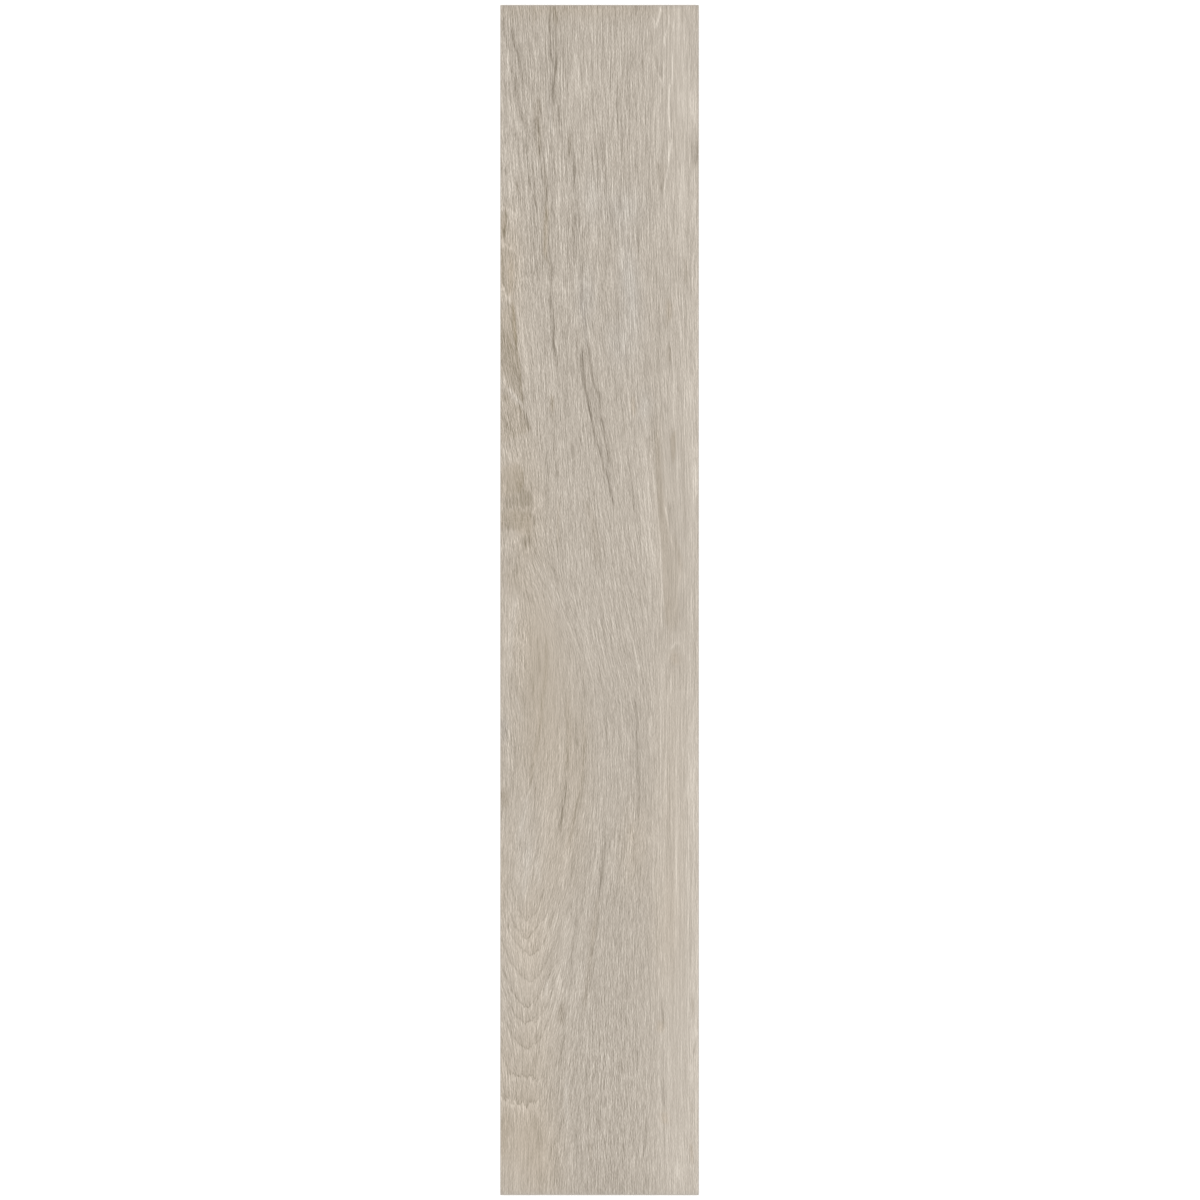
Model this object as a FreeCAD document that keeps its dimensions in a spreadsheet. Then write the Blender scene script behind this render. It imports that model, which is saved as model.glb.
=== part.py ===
# Wood look porcelain plank tile: one pressed, fired and edge-ground plank.
# The plank lies flat on its back. The origin is the middle of the back, +Y runs along the plank,
# +X across it, and +Z points out of the printed face.

import FreeCAD, Part
import math
import os
import Sketcher

# Driving dimensions, in millimetres: alias, size and what it measures.
DIMENSIONS = [
    ("plank_length", 1200.0, "length of the plank over its ground ends"),
    ("plank_width", 200.0, "width of the plank over its ground long edges"),
    ("plank_thickness", 9.5, "back to face"),
    ("face_arris", 0.7, "45 degree arris ground round the edges of the face"),
    ("key_width", 28.0, "width of one key recess, across the back"),
    ("key_length", 95.0, "length of one key recess, along the back"),
    ("key_corner", 3.0, "corner radius of a key recess"),
    ("key_depth", 0.6, "depth of a key recess"),
    ("key_rib", 4.0, "width of the rib between two key recesses"),
    ("key_border", 6.0, "least width of the plain border round the key recesses"),
]


def key_pitch(key_size):
    """Expression for the distance from one key recess to the next."""
    return f"(Dimensions.{key_size} + Dimensions.key_rib)"


def key_straight(key_size):
    """Expression for the straight part of one side of a key recess, between its rounded corners."""
    return f"(Dimensions.{key_size} - 2 * Dimensions.key_corner)"


def keys_that_fit(plank_size, key_size):
    """Expression for the number of key recesses that fit along one side of the back."""
    room = f"(Dimensions.{plank_size} - 2 * Dimensions.key_border + Dimensions.key_rib)"
    return f"floor({room} / {key_pitch(key_size)})"


def first_key_offset(plank_size, key_size):
    """Expression for the distance from the middle of the back to the first key's low corner arc centre."""
    to_key_middle = f"({keys_that_fit(plank_size, key_size)} - 1) / 2 * {key_pitch(key_size)}"
    return f"{to_key_middle} + {key_straight(key_size)} / 2"


def add_dimensions(doc):
    """The sheet that holds one named cell for each driving dimension."""
    sheet = doc.addObject("Spreadsheet::Sheet", "Dimensions")
    for row, (alias, size, meaning) in enumerate(DIMENSIONS, start=1):
        sheet.set(f"A{row}", meaning)
        sheet.set(f"B{row}", str(size))
        sheet.setAlias(f"B{row}", alias)
    doc.recompute()
    return sheet


def origin_feature(body, role):
    """A plane or an axis of the body's own origin."""
    return next(feature for feature in body.Origin.OriginFeatures if feature.Role == role)


def add_back_sketch(body, name):
    """An empty sketch on the plane of the plank's back."""
    sketch = body.newObject("Sketcher::SketchObject", name)
    sketch.AttachmentSupport = [(origin_feature(body, "XY_Plane"), "")]
    sketch.MapMode = "FlatFace"
    return sketch


def drive(sketch, name, expression, *constraint):
    """Adds a named constraint to a sketch and lets an expression set it."""
    index = sketch.addConstraint(Sketcher.Constraint(*constraint))
    sketch.renameConstraint(index, name)
    sketch.setExpression(f"Constraints.{name}", expression)


def draw_outline(body, sheet):
    """The plank's outline: a rectangle centred on the origin."""
    sketch = add_back_sketch(body, "plank_outline")
    half_width = sheet.plank_width / 2
    half_length = sheet.plank_length / 2
    corners = [
        FreeCAD.Vector(-half_width, -half_length, 0),
        FreeCAD.Vector(half_width, -half_length, 0),
        FreeCAD.Vector(half_width, half_length, 0),
        FreeCAD.Vector(-half_width, half_length, 0),
    ]
    for side in range(4):
        sketch.addGeometry(Part.LineSegment(corners[side], corners[(side + 1) % 4]), False)
    for side in range(4):
        sketch.addConstraint(Sketcher.Constraint("Coincident", side, 2, (side + 1) % 4, 1))
        sketch.addConstraint(Sketcher.Constraint("Vertical" if side % 2 else "Horizontal", side))
    sketch.addConstraint(Sketcher.Constraint("Symmetric", 0, 1, 2, 1, -1, 1))
    drive(sketch, "width", "Dimensions.plank_width", "DistanceX", 0, 1, 0, 2, sheet.plank_width)
    drive(sketch, "length", "Dimensions.plank_length", "DistanceY", 1, 1, 1, 2, sheet.plank_length)
    return sketch


def draw_first_key(body, sheet):
    """The key recess in the low corner of the back: a rectangle with rounded corners."""
    sketch = add_back_sketch(body, "key_outline")
    radius = sheet.key_corner
    across = sheet.key_width - 2 * radius
    along = sheet.key_length - 2 * radius
    centres = [
        FreeCAD.Vector(-across, -along, 0),
        FreeCAD.Vector(0, -along, 0),
        FreeCAD.Vector(0, 0, 0),
        FreeCAD.Vector(-across, 0, 0),
    ]
    quarter = math.pi / 2
    arcs = []
    for corner, centre in enumerate(centres):
        start = math.pi + corner * quarter
        circle = Part.Circle(centre, FreeCAD.Vector(0, 0, 1), radius)
        arcs.append(Part.ArcOfCircle(circle, start, start + quarter))
    for arc in arcs:
        sketch.addGeometry(arc, False)
    for corner in range(4):
        following = arcs[(corner + 1) % 4]
        sketch.addGeometry(Part.LineSegment(arcs[corner].EndPoint, following.StartPoint), False)
    for corner in range(4):
        side = 4 + corner
        sketch.addConstraint(Sketcher.Constraint("Tangent", corner, 2, side, 1))
        sketch.addConstraint(Sketcher.Constraint("Tangent", side, 2, (corner + 1) % 4, 1))
        sketch.addConstraint(Sketcher.Constraint("Vertical" if corner % 2 else "Horizontal", side))
    for corner in range(1, 4):
        sketch.addConstraint(Sketcher.Constraint("Equal", 0, corner))
    from_middle_across = first_key_offset("plank_width", "key_width")
    from_middle_along = first_key_offset("plank_length", "key_length")
    drive(sketch, "corner", "Dimensions.key_corner", "Radius", 0, radius)
    drive(sketch, "straight_across", key_straight("key_width"), "DistanceX", 0, 3, 1, 3, across)
    drive(sketch, "straight_along", key_straight("key_length"), "DistanceY", 0, 3, 3, 3, along)
    drive(sketch, "from_middle_across", from_middle_across, "DistanceX", 0, 3, -1, 1, across)
    drive(sketch, "from_middle_along", from_middle_along, "DistanceY", 0, 3, -1, 1, along)
    return sketch


def press_slab(body, outline):
    """The pressed slab, back to face."""
    slab = body.newObject("PartDesign::Pad", "slab")
    slab.Profile = outline
    slab.setExpression("Length", "Dimensions.plank_thickness")
    body.Document.recompute()
    return slab


def grind_face_arris(body, slab):
    """The small arris that is ground round all four edges of the face."""
    heights = [face.CenterOfMass.z for face in slab.Shape.Faces]
    face_name = f"Face{heights.index(max(heights)) + 1}"
    arris = body.newObject("PartDesign::Chamfer", "face_arris")
    arris.Base = (slab, [face_name])
    arris.setExpression("Size", "Dimensions.face_arris")
    body.Document.recompute()
    return arris


def add_key_row(body, name, axis, plank_size, key_size):
    """One direction of the key grid: as many keys as fit along that axis."""
    row = body.newObject("PartDesign::LinearPattern", name)
    row.Direction = (origin_feature(body, axis), [""])
    row.Mode = "Spacing"
    row.setExpression("Offset", key_pitch(key_size))
    row.setExpression("Occurrences", keys_that_fit(plank_size, key_size))
    return row


def press_keys(body, key_outline):
    """The grid of shallow recesses that the bedding adhesive grips, centred on the back."""
    key = body.newObject("PartDesign::Pocket", "first_key")
    key.Profile = key_outline
    key.Reversed = True
    key.setExpression("Length", "Dimensions.key_depth")
    body.Document.recompute()
    grid = body.newObject("PartDesign::MultiTransform", "keys")
    grid.Originals = [key]
    across = add_key_row(body, "keys_across", "X_Axis", "plank_width", "key_width")
    along = add_key_row(body, "keys_along", "Y_Axis", "plank_length", "key_length")
    grid.Transformations = [across, along]
    body.Tip = grid
    body.Document.recompute()
    return across.Occurrences, along.Occurrences


def check_built(doc, body, slab_volume, key_count, sheet):
    """Stops the build if a feature failed, or if the keys were not cut to their full number and depth."""
    failed = [item.Name for item in doc.Objects if {"Invalid", "Error"} & set(item.State)]
    if failed:
        raise RuntimeError(f"these objects failed: {failed}")
    shape = body.Shape
    if shape.isNull() or not shape.isValid() or len(shape.Solids) != 1:
        raise RuntimeError(f"{body.Label} is not one valid solid")
    corner_waste = (4 - math.pi) * sheet.key_corner**2
    key_area = sheet.key_width * sheet.key_length - corner_waste
    expected = key_count * key_area * sheet.key_depth
    removed = slab_volume - shape.Volume
    if abs(removed - expected) > 0.001 * expected:
        raise RuntimeError(f"the keys take {removed:.1f} mm3 out of the back, and should take {expected:.1f}")


def main():
    doc = FreeCAD.newDocument("plank_tile")
    sheet = add_dimensions(doc)
    body = doc.addObject("PartDesign::Body", "plank_tile")
    body.Label = "plank_tile"
    slab = press_slab(body, draw_outline(body, sheet))
    ground_slab = grind_face_arris(body, slab)
    across, along = press_keys(body, draw_first_key(body, sheet))
    check_built(doc, body, ground_slab.Shape.Volume, across * along, sheet)
    os.makedirs("parts", exist_ok=True)
    body.Shape.exportStep(f"parts/{body.Label}.step")
    box = body.Shape.BoundBox
    print(f"{body.Label}: {box.XLength:.2f} x {box.YLength:.2f} x {box.ZLength:.2f} mm")
    print(f"{across} x {along} keys in the back, {body.Shape.Volume / 1000:.1f} cm3")


main()
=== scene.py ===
import bmesh
import bpy
import numpy as np
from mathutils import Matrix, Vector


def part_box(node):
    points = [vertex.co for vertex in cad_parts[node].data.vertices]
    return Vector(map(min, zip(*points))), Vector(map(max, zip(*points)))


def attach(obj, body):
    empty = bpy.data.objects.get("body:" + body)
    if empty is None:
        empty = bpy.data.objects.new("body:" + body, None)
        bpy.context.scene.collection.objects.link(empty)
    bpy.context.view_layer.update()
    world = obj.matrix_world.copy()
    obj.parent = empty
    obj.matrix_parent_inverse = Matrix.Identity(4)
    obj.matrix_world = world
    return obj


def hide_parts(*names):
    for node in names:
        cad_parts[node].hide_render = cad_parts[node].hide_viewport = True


# Wood look porcelain plank tile, lying flat with its printed face up.
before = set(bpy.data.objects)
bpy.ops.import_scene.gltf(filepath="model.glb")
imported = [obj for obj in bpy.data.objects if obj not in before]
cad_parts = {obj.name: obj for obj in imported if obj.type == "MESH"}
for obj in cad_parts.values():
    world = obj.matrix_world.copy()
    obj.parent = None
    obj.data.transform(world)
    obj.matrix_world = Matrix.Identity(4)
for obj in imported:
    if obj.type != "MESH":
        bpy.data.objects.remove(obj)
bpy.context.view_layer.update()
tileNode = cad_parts["plank_tile"]
tileLow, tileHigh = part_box("plank_tile")
print("frame loaded, plank", [round(v * 1000, 1) for v in tileHigh - tileLow], "mm")


# The plank's mesh: keyed back from the CAD node, then walls, arris and a fine face.
plankShape = {
    "arris": 0.0007,          # ground edge of the face, as in the CAD
    "cellsAcross": 264,       # face grid, about 0.75 mm by 3.7 mm
    "cellsAlong": 326,
    "streakGroove": 0.00010,  # depth under the darkest drawn streaks
    "poreGroove": 0.00007,    # depth of a pore
    "ringGroove": 0.00006,    # depth of a torn ring
    "fullStreak": 30.0,       # tones that are pressed to the full depth
    "fullRing": 16.0,
    "ringSpread": 1.2,        # mm to either side of a ring
    "plainEdge": 0.8,         # mm from the edge without relief, and over which it then comes in
    "edgeFade": 3.0,
}


def openRim(bm):
    return [edge for edge in bm.edges if edge.is_boundary]


def newVerts(result):
    return [part for part in result["geom"] if isinstance(part, bmesh.types.BMVert)]


def crossEdges(edges):
    return [edge for edge in edges if abs(edge.verts[0].co.y - edge.verts[1].co.y) < 1e-6]


def addObject(name, data):
    thing = bpy.data.objects.new(name, data)
    bpy.context.scene.collection.objects.link(thing)
    return thing


def addMesh(name, bm):
    mesh = bpy.data.meshes.new(name)
    bm.to_mesh(mesh)
    bm.free()
    return addObject(name, mesh)


def buildPlank(shape):
    arris = shape["arris"]
    bm = bmesh.new()
    bm.from_mesh(tileNode.data)
    bmesh.ops.remove_doubles(bm, verts=bm.verts, dist=1e-6)
    upper = [face for face in bm.faces if max(vert.co.z for vert in face.verts) > tileHigh.z / 2]
    bmesh.ops.delete(bm, geom=upper, context="FACES")
    wallTop = newVerts(bmesh.ops.extrude_edge_only(bm, edges=openRim(bm)))
    bmesh.ops.translate(bm, verts=wallTop, vec=(0, 0, tileHigh.z - arris))
    faceRim = newVerts(bmesh.ops.extrude_edge_only(bm, edges=openRim(bm)))
    bmesh.ops.scale(bm, verts=faceRim, vec=(1 - arris / tileHigh.x, 1 - arris / tileHigh.y, 1))
    bmesh.ops.translate(bm, verts=faceRim, vec=(0, 0, arris))
    rim = openRim(bm)
    ends = crossEdges(rim)
    sides = [edge for edge in rim if edge not in ends]
    bmesh.ops.bisect_edges(bm, edges=ends, cuts=shape["cellsAcross"] - 1, edge_percents={})
    bmesh.ops.bisect_edges(bm, edges=sides, cuts=shape["cellsAlong"] - 1, edge_percents={})
    rim = openRim(bm)
    for edge in rim:
        edge.smooth = False  # keeps the arris crisp beside the smooth face
    for face in bm.faces:
        face.material_index = 1
    bmesh.ops.grid_fill(bm, edges=crossEdges(rim), mat_nr=0, use_smooth=True, use_interp_simple=True)
    return addMesh("plank_tile_dressed", bm)


plank = buildPlank(plankShape)
print("plank mesh built,", len(plank.data.polygons), "faces")


def readAll(items, key, kind=float, width=1):
    values = np.empty(len(items) * width, kind)
    items.foreach_get(key, values)
    return values.reshape(-1, width).squeeze()


# Face points in rows down the plank: millimetres from the left edge and from the far end.
meshPoints = readAll(plank.data.vertices, "co", width=3)
facePoints = np.flatnonzero(meshPoints[:, 2] > tileHigh.z - 1e-5)
facePoints = facePoints[np.argsort(-meshPoints[facePoints, 1])]
facePoints = facePoints.reshape(plankShape["cellsAlong"] + 1, plankShape["cellsAcross"] + 1)
facePoints = np.take_along_axis(facePoints, np.argsort(meshPoints[facePoints, 0], axis=1), axis=1)
across = (meshPoints[facePoints, 0] - tileLow.x) * 1000
down = (tileHigh.y - meshPoints[facePoints, 1]) * 1000
acrossLine = across[0]
downLine = down[:, 0]
faceWidth = round((tileHigh.x - tileLow.x) * 1000)
faceLength = round((tileHigh.y - tileLow.y) * 1000)


# How far the fibres lean to the right per millimetre down, read one by one: {down: [(across, lean), ...]}.
grainLean = {
    0: [(10, 0.08), (50, 0.02), (100, 0.0), (200, 0.0)],
    100: [(10, 0.05), (30, 0.05), (60, 0.04), (100, 0.03), (150, 0.0), (200, 0.0)],
    180: [(10, 0.05), (30, 0.08), (60, 0.05), (110, 0.04), (150, 0.02), (200, 0.0)],
    260: [(15, 0.04), (45, 0.04), (80, 0.04), (120, 0.04), (150, 0.03), (200, 0.02)],
    340: [(10, 0.16), (30, 0.12), (50, 0.05), (80, 0.06), (100, 0.1), (130, 0.05), (165, 0.06), (200, 0.03)],
    420: [(10, 0.18), (30, 0.12), (50, 0.04), (80, 0.06), (102, 0.2), (122, 0.09), (140, 0.08), (200, 0.02)],
    500: [(10, 0.08), (30, 0.06), (55, 0.03), (80, 0.05), (108, 0.14), (125, 0.10), (145, 0.12), (200, 0.0)],
    570: [(10, 0.05), (24, 0.2), (38, 0.42), (54, 0.2), (66, 0.08), (110, 0.12), (140, 0.15), (170, 0.0)],
    620: [(10, 0.0), (38, 0.1), (54, 0.3), (68, 0.4), (86, 0.2), (130, 0.22), (148, 0.12), (160, 0.0)],
    660: [(10, 0.0), (40, 0.0), (70, 0.12), (95, 0.22), (120, 0.26), (140, 0.18), (152, 0.06), (160, 0.0)],
    700: [(10, 0.12), (40, 0.0), (70, 0.05), (100, 0.12), (130, 0.15), (148, 0.08), (158, 0.0), (200, 0.0)],
    760: [(10, 0.10), (35, -0.08), (70, -0.04), (100, 0.02), (130, 0.03), (155, 0.0), (200, 0.0)],
    820: [(10, -0.05), (35, -0.16), (65, -0.16), (100, -0.06), (130, -0.06), (152, 0.0), (200, 0.0)],
    880: [(10, -0.02), (35, -0.20), (65, -0.18), (100, -0.10), (128, -0.12), (152, 0.0), (200, 0.0)],
    940: [(10, 0.12), (28, 0.0), (50, -0.28), (75, -0.16), (100, -0.08), (130, 0.0), (200, 0.0)],
    1000: [(8, 0.22), (28, 0.0), (50, -0.28), (75, -0.12), (100, -0.04), (130, 0.03), (160, 0.0)],
    1060: [(8, 0.15), (28, 0.0), (50, -0.16), (75, -0.08), (105, 0.05), (135, 0.05), (160, 0.0), (200, 0.0)],
    1120: [(10, 0.02), (35, -0.05), (58, -0.12), (80, -0.04), (110, 0.03), (140, 0.02), (200, 0.02)],
    1200: [(10, 0.0), (70, -0.02), (110, 0.0), (200, 0.02)],
}

# Broad tone of the board, with painted shade in thin bands along the far end, the near end and the left
# edge: (across, down, reach across, reach along, lean, tone, and warmth if any).
# Tone is in steps of 1/255, and dark below 0. Warmth is brown, and grey below 0.
boardPatches = [
    (185, 60, 22, 120, 0.0, 7),
    (196, 100, 8, 26, 0.0, 6),
    (185, 215, 20, 50, 0.0, 6),
    (186, 400, 18, 110, 0.0, 6),
    (193, 395, 8, 22, 0.0, 4),
    (199, 340, 5, 40, 0.0, 6),
    (198, 480, 8, 40, 0.0, 8),
    (184, 900, 28, 330, 0.0, 6),
    (200, 900, 10, 400, 0.0, 8),
    (195, 1110, 12, 90, 0.0, 5),
    (198, 800, 7, 70, 0.0, 6),
    (184, 1170, 16, 40, 0.0, 6),
    (150, 560, 14, 120, 0.1, 4),
    (10, 625, 10, 45, -0.05, 6),
    (24, 850, 12, 60, -0.1, 4, -1),
    (20, 560, 30, 70, 0.0, -3),
    (40, 480, 50, 110, 0.0, -2),
    (30, 740, 50, 110, 0.0, -2),
    (120, 700, 60, 130, 0.0, -2),
    (180, 640, 30, 60, 0.0, -2),
    (170, 1120, 40, 110, 0.0, 4),
    (110, 1040, 40, 50, 0.0, 2),
    (28, 960, 30, 70, 0.0, 4),
    (92, 640, 22, 40, 0.2, 2),
    (76, 80, 12, 40, 0.0, 4),
    (80, 0, 90, 13, 0.0, -4, 2.6),
    (30, 60, 40, 70, 0.0, -3),
    (60, 25, 8, 35, 0.0, -6),
    (40, 190, 18, 110, 0.1, -4),
    (76, 210, 8, 70, 0.05, -3),
    (97, 412, 8, 55, 0.22, -9),
    (60, 340, 14, 70, 0.1, -2),
    (8, 269, 11, 28, 0.0, -7, 1.2),
    (4, 302, 7, 6, 0.0, 3, -2.5),
    (1, 222, 5, 13, 0.0, -12, 2),
    (199, 147, 5, 13, 0.0, -12),
    (5, 340, 11, 26, 0.0, -5),
    (19, 386, 6, 26, 0.2, -10),
    (8, 405, 10, 20, 0.0, -2),
    (4, 430, 9, 14, 0.0, -3),
    (20, 488, 12, 17, 0.1, -5),
    (13, 510, 16, 15, 0.0, -5),
    (27, 543, 7, 16, -0.1, -9, 1),
    (4, 530, 10, 16, 0.0, -3),
    (14, 578, 14, 14, 0.0, -5, 1),
    (36, 700, 22, 70, 0.0, -4, 1),
    (1, 728, 6, 14, 0.0, -5, -1),
    (1, 800, 6, 10, 0.0, -13, 1),
    (78, 760, 14, 70, 0.0, -4, 1),
    (138, 765, 9, 55, 0.0, -2),
    (172, 615, 13, 20, 0.0, -3),
    (160, 480, 6, 70, 0.06, -5, 1),
    (174, 445, 7, 18, 0.0, -4),
    (115, 960, 34, 80, 0.0, -4),
    (112, 1080, 36, 80, 0.0, -4),
    (100, 1190, 60, 30, 0.0, -3),
    (48, 1100, 12, 25, 0.0, -4),
    (37, 1142, 7, 22, 0.05, -4),
    (0, 1140, 8, 28, 0.0, -6, 1),
    # painted shade: thin darker, greyer bands along the far end, the near end and the left edge, standing
    # for the shade of the ground edges
    (100, -1, 300, 3, 0.0, -7, -2.5),
    (100, 1201, 300, 3, 0.0, -3, -3),
    (-1, 600, 2.5, 2000, 0.0, -2, -2),
    (25, 1160, 26, 36, 0.0, 3),
]

# Pointed figures and knots with a crisp border: (corners, softness of the border, tone, warmth).
boardPanels = [
    ([(-9, 290), (12, 301), (16, 330), (20, 365), (23, 402), (10, 388), (-9, 366)], 1.0, -10, 1.5),
    ([(-9, 322), (6, 330), (13, 346), (17, 372), (5, 371), (-9, 362)], 2.5, -5, 0.5),
    ([(-9, 384), (10, 397), (22, 407), (31, 429), (16, 436), (-9, 444)], 1.6, -7, 1.6),
    ([(-9, 480), (8, 466), (20, 460), (24, 478), (34, 502), (33, 522), (20, 532), (6, 527), (-9, 530)],
     2.4, -3, 0.5),
    ([(-9, 468), (8, 464), (17, 463), (21.5, 465), (23.3, 474), (23, 484), (20.5, 492), (-9, 496)],
     1.6, -5, 1.2),
    ([(22, 486), (25, 489), (28, 491), (31.5, 495), (34.5, 499), (33, 503), (30, 507), (21, 508), (14, 506),
      (6, 510), (3, 500), (11, 496), (19, 494)], 2.6, -9, 0.0),
    ([(22, 486), (26, 489), (31.5, 494), (34.5, 499), (32, 504), (24, 507), (21, 498)], 1.0, -9, 0.0),
    ([(-9, 512), (12, 510), (23, 512), (28, 511), (31, 515), (32, 522), (32, 530), (30, 534), (20, 534),
      (17, 531), (13, 528), (9, 526), (-9, 528)], 1.6, -6, 1.3),
    ([(155.5, 432), (160, 428), (162.5, 470), (165.5, 505), (172, 535), (182.5, 560), (182, 580), (178, 602),
      (175, 628), (170, 634), (165, 604), (163.5, 566), (160.5, 520), (157, 470)], 0.9, -4, 0.9),
    ([(171, 436), (177, 428), (177, 450), (174.5, 464), (172.5, 455)], 1.0, -9, 2.4),
    ([(157, 156), (162, 162), (168.5, 160), (166, 175), (163.8, 190), (161, 184), (158.5, 171)],
     1.0, -7, 0.6),
    ([(161, 690), (230, 690), (230, 1230), (157, 1230), (160, 1000)], 1.2, 3, 0.0),
]

# Zones that are browner than the grey middle of the board, in the same form.
warmZones = [
    (8, 250, 16, 50, 0.0, 0, 2.0),
    (10, 330, 16, 60, 0.1, 0, 1.4),
    (22, 500, 26, 70, 0.1, 0, 2.4),
    (32, 640, 30, 60, 0.1, 0, 2.2),
    (46, 760, 36, 80, 0.0, 0, 2.2),
    (62, 860, 24, 50, -0.1, 0, 1.5),
    (28, 940, 26, 60, 0.0, 0, 2.5),
    (34, 1050, 28, 50, 0.0, 0, 2.0),
    (20, 1140, 28, 60, 0.0, 0, 3.2),
    (46, 1165, 20, 50, 0.0, 0, 2.0),
    (165, 560, 12, 70, 0.06, 0, 0.4),
    (172, 800, 18, 130, 0.0, 0, 1.2),
    (168, 930, 16, 60, 0.0, 0, 1.5),
    (135, 850, 16, 40, -0.1, 0, 2.0),
    (125, 205, 20, 20, 0.0, 0, -2.0),
    (131, 285, 10, 45, 0.1, 2, -3.0),
    (86, 295, 9, 26, 0.0, 0, -2.5),
    (120, 340, 14, 26, 0.1, 0, -2.0),
    (146, 405, 8, 16, 0.0, 0, -2.0),
    (92, 195, 12, 26, 0.0, 0, -1.5),
    (10, 850, 12, 40, 0.0, 0, 1.0),
    (1, 890, 6, 45, 0.0, 0, 1.5),
    (2, 1065, 8, 36, 0.0, -1, 1.5),
]

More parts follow.
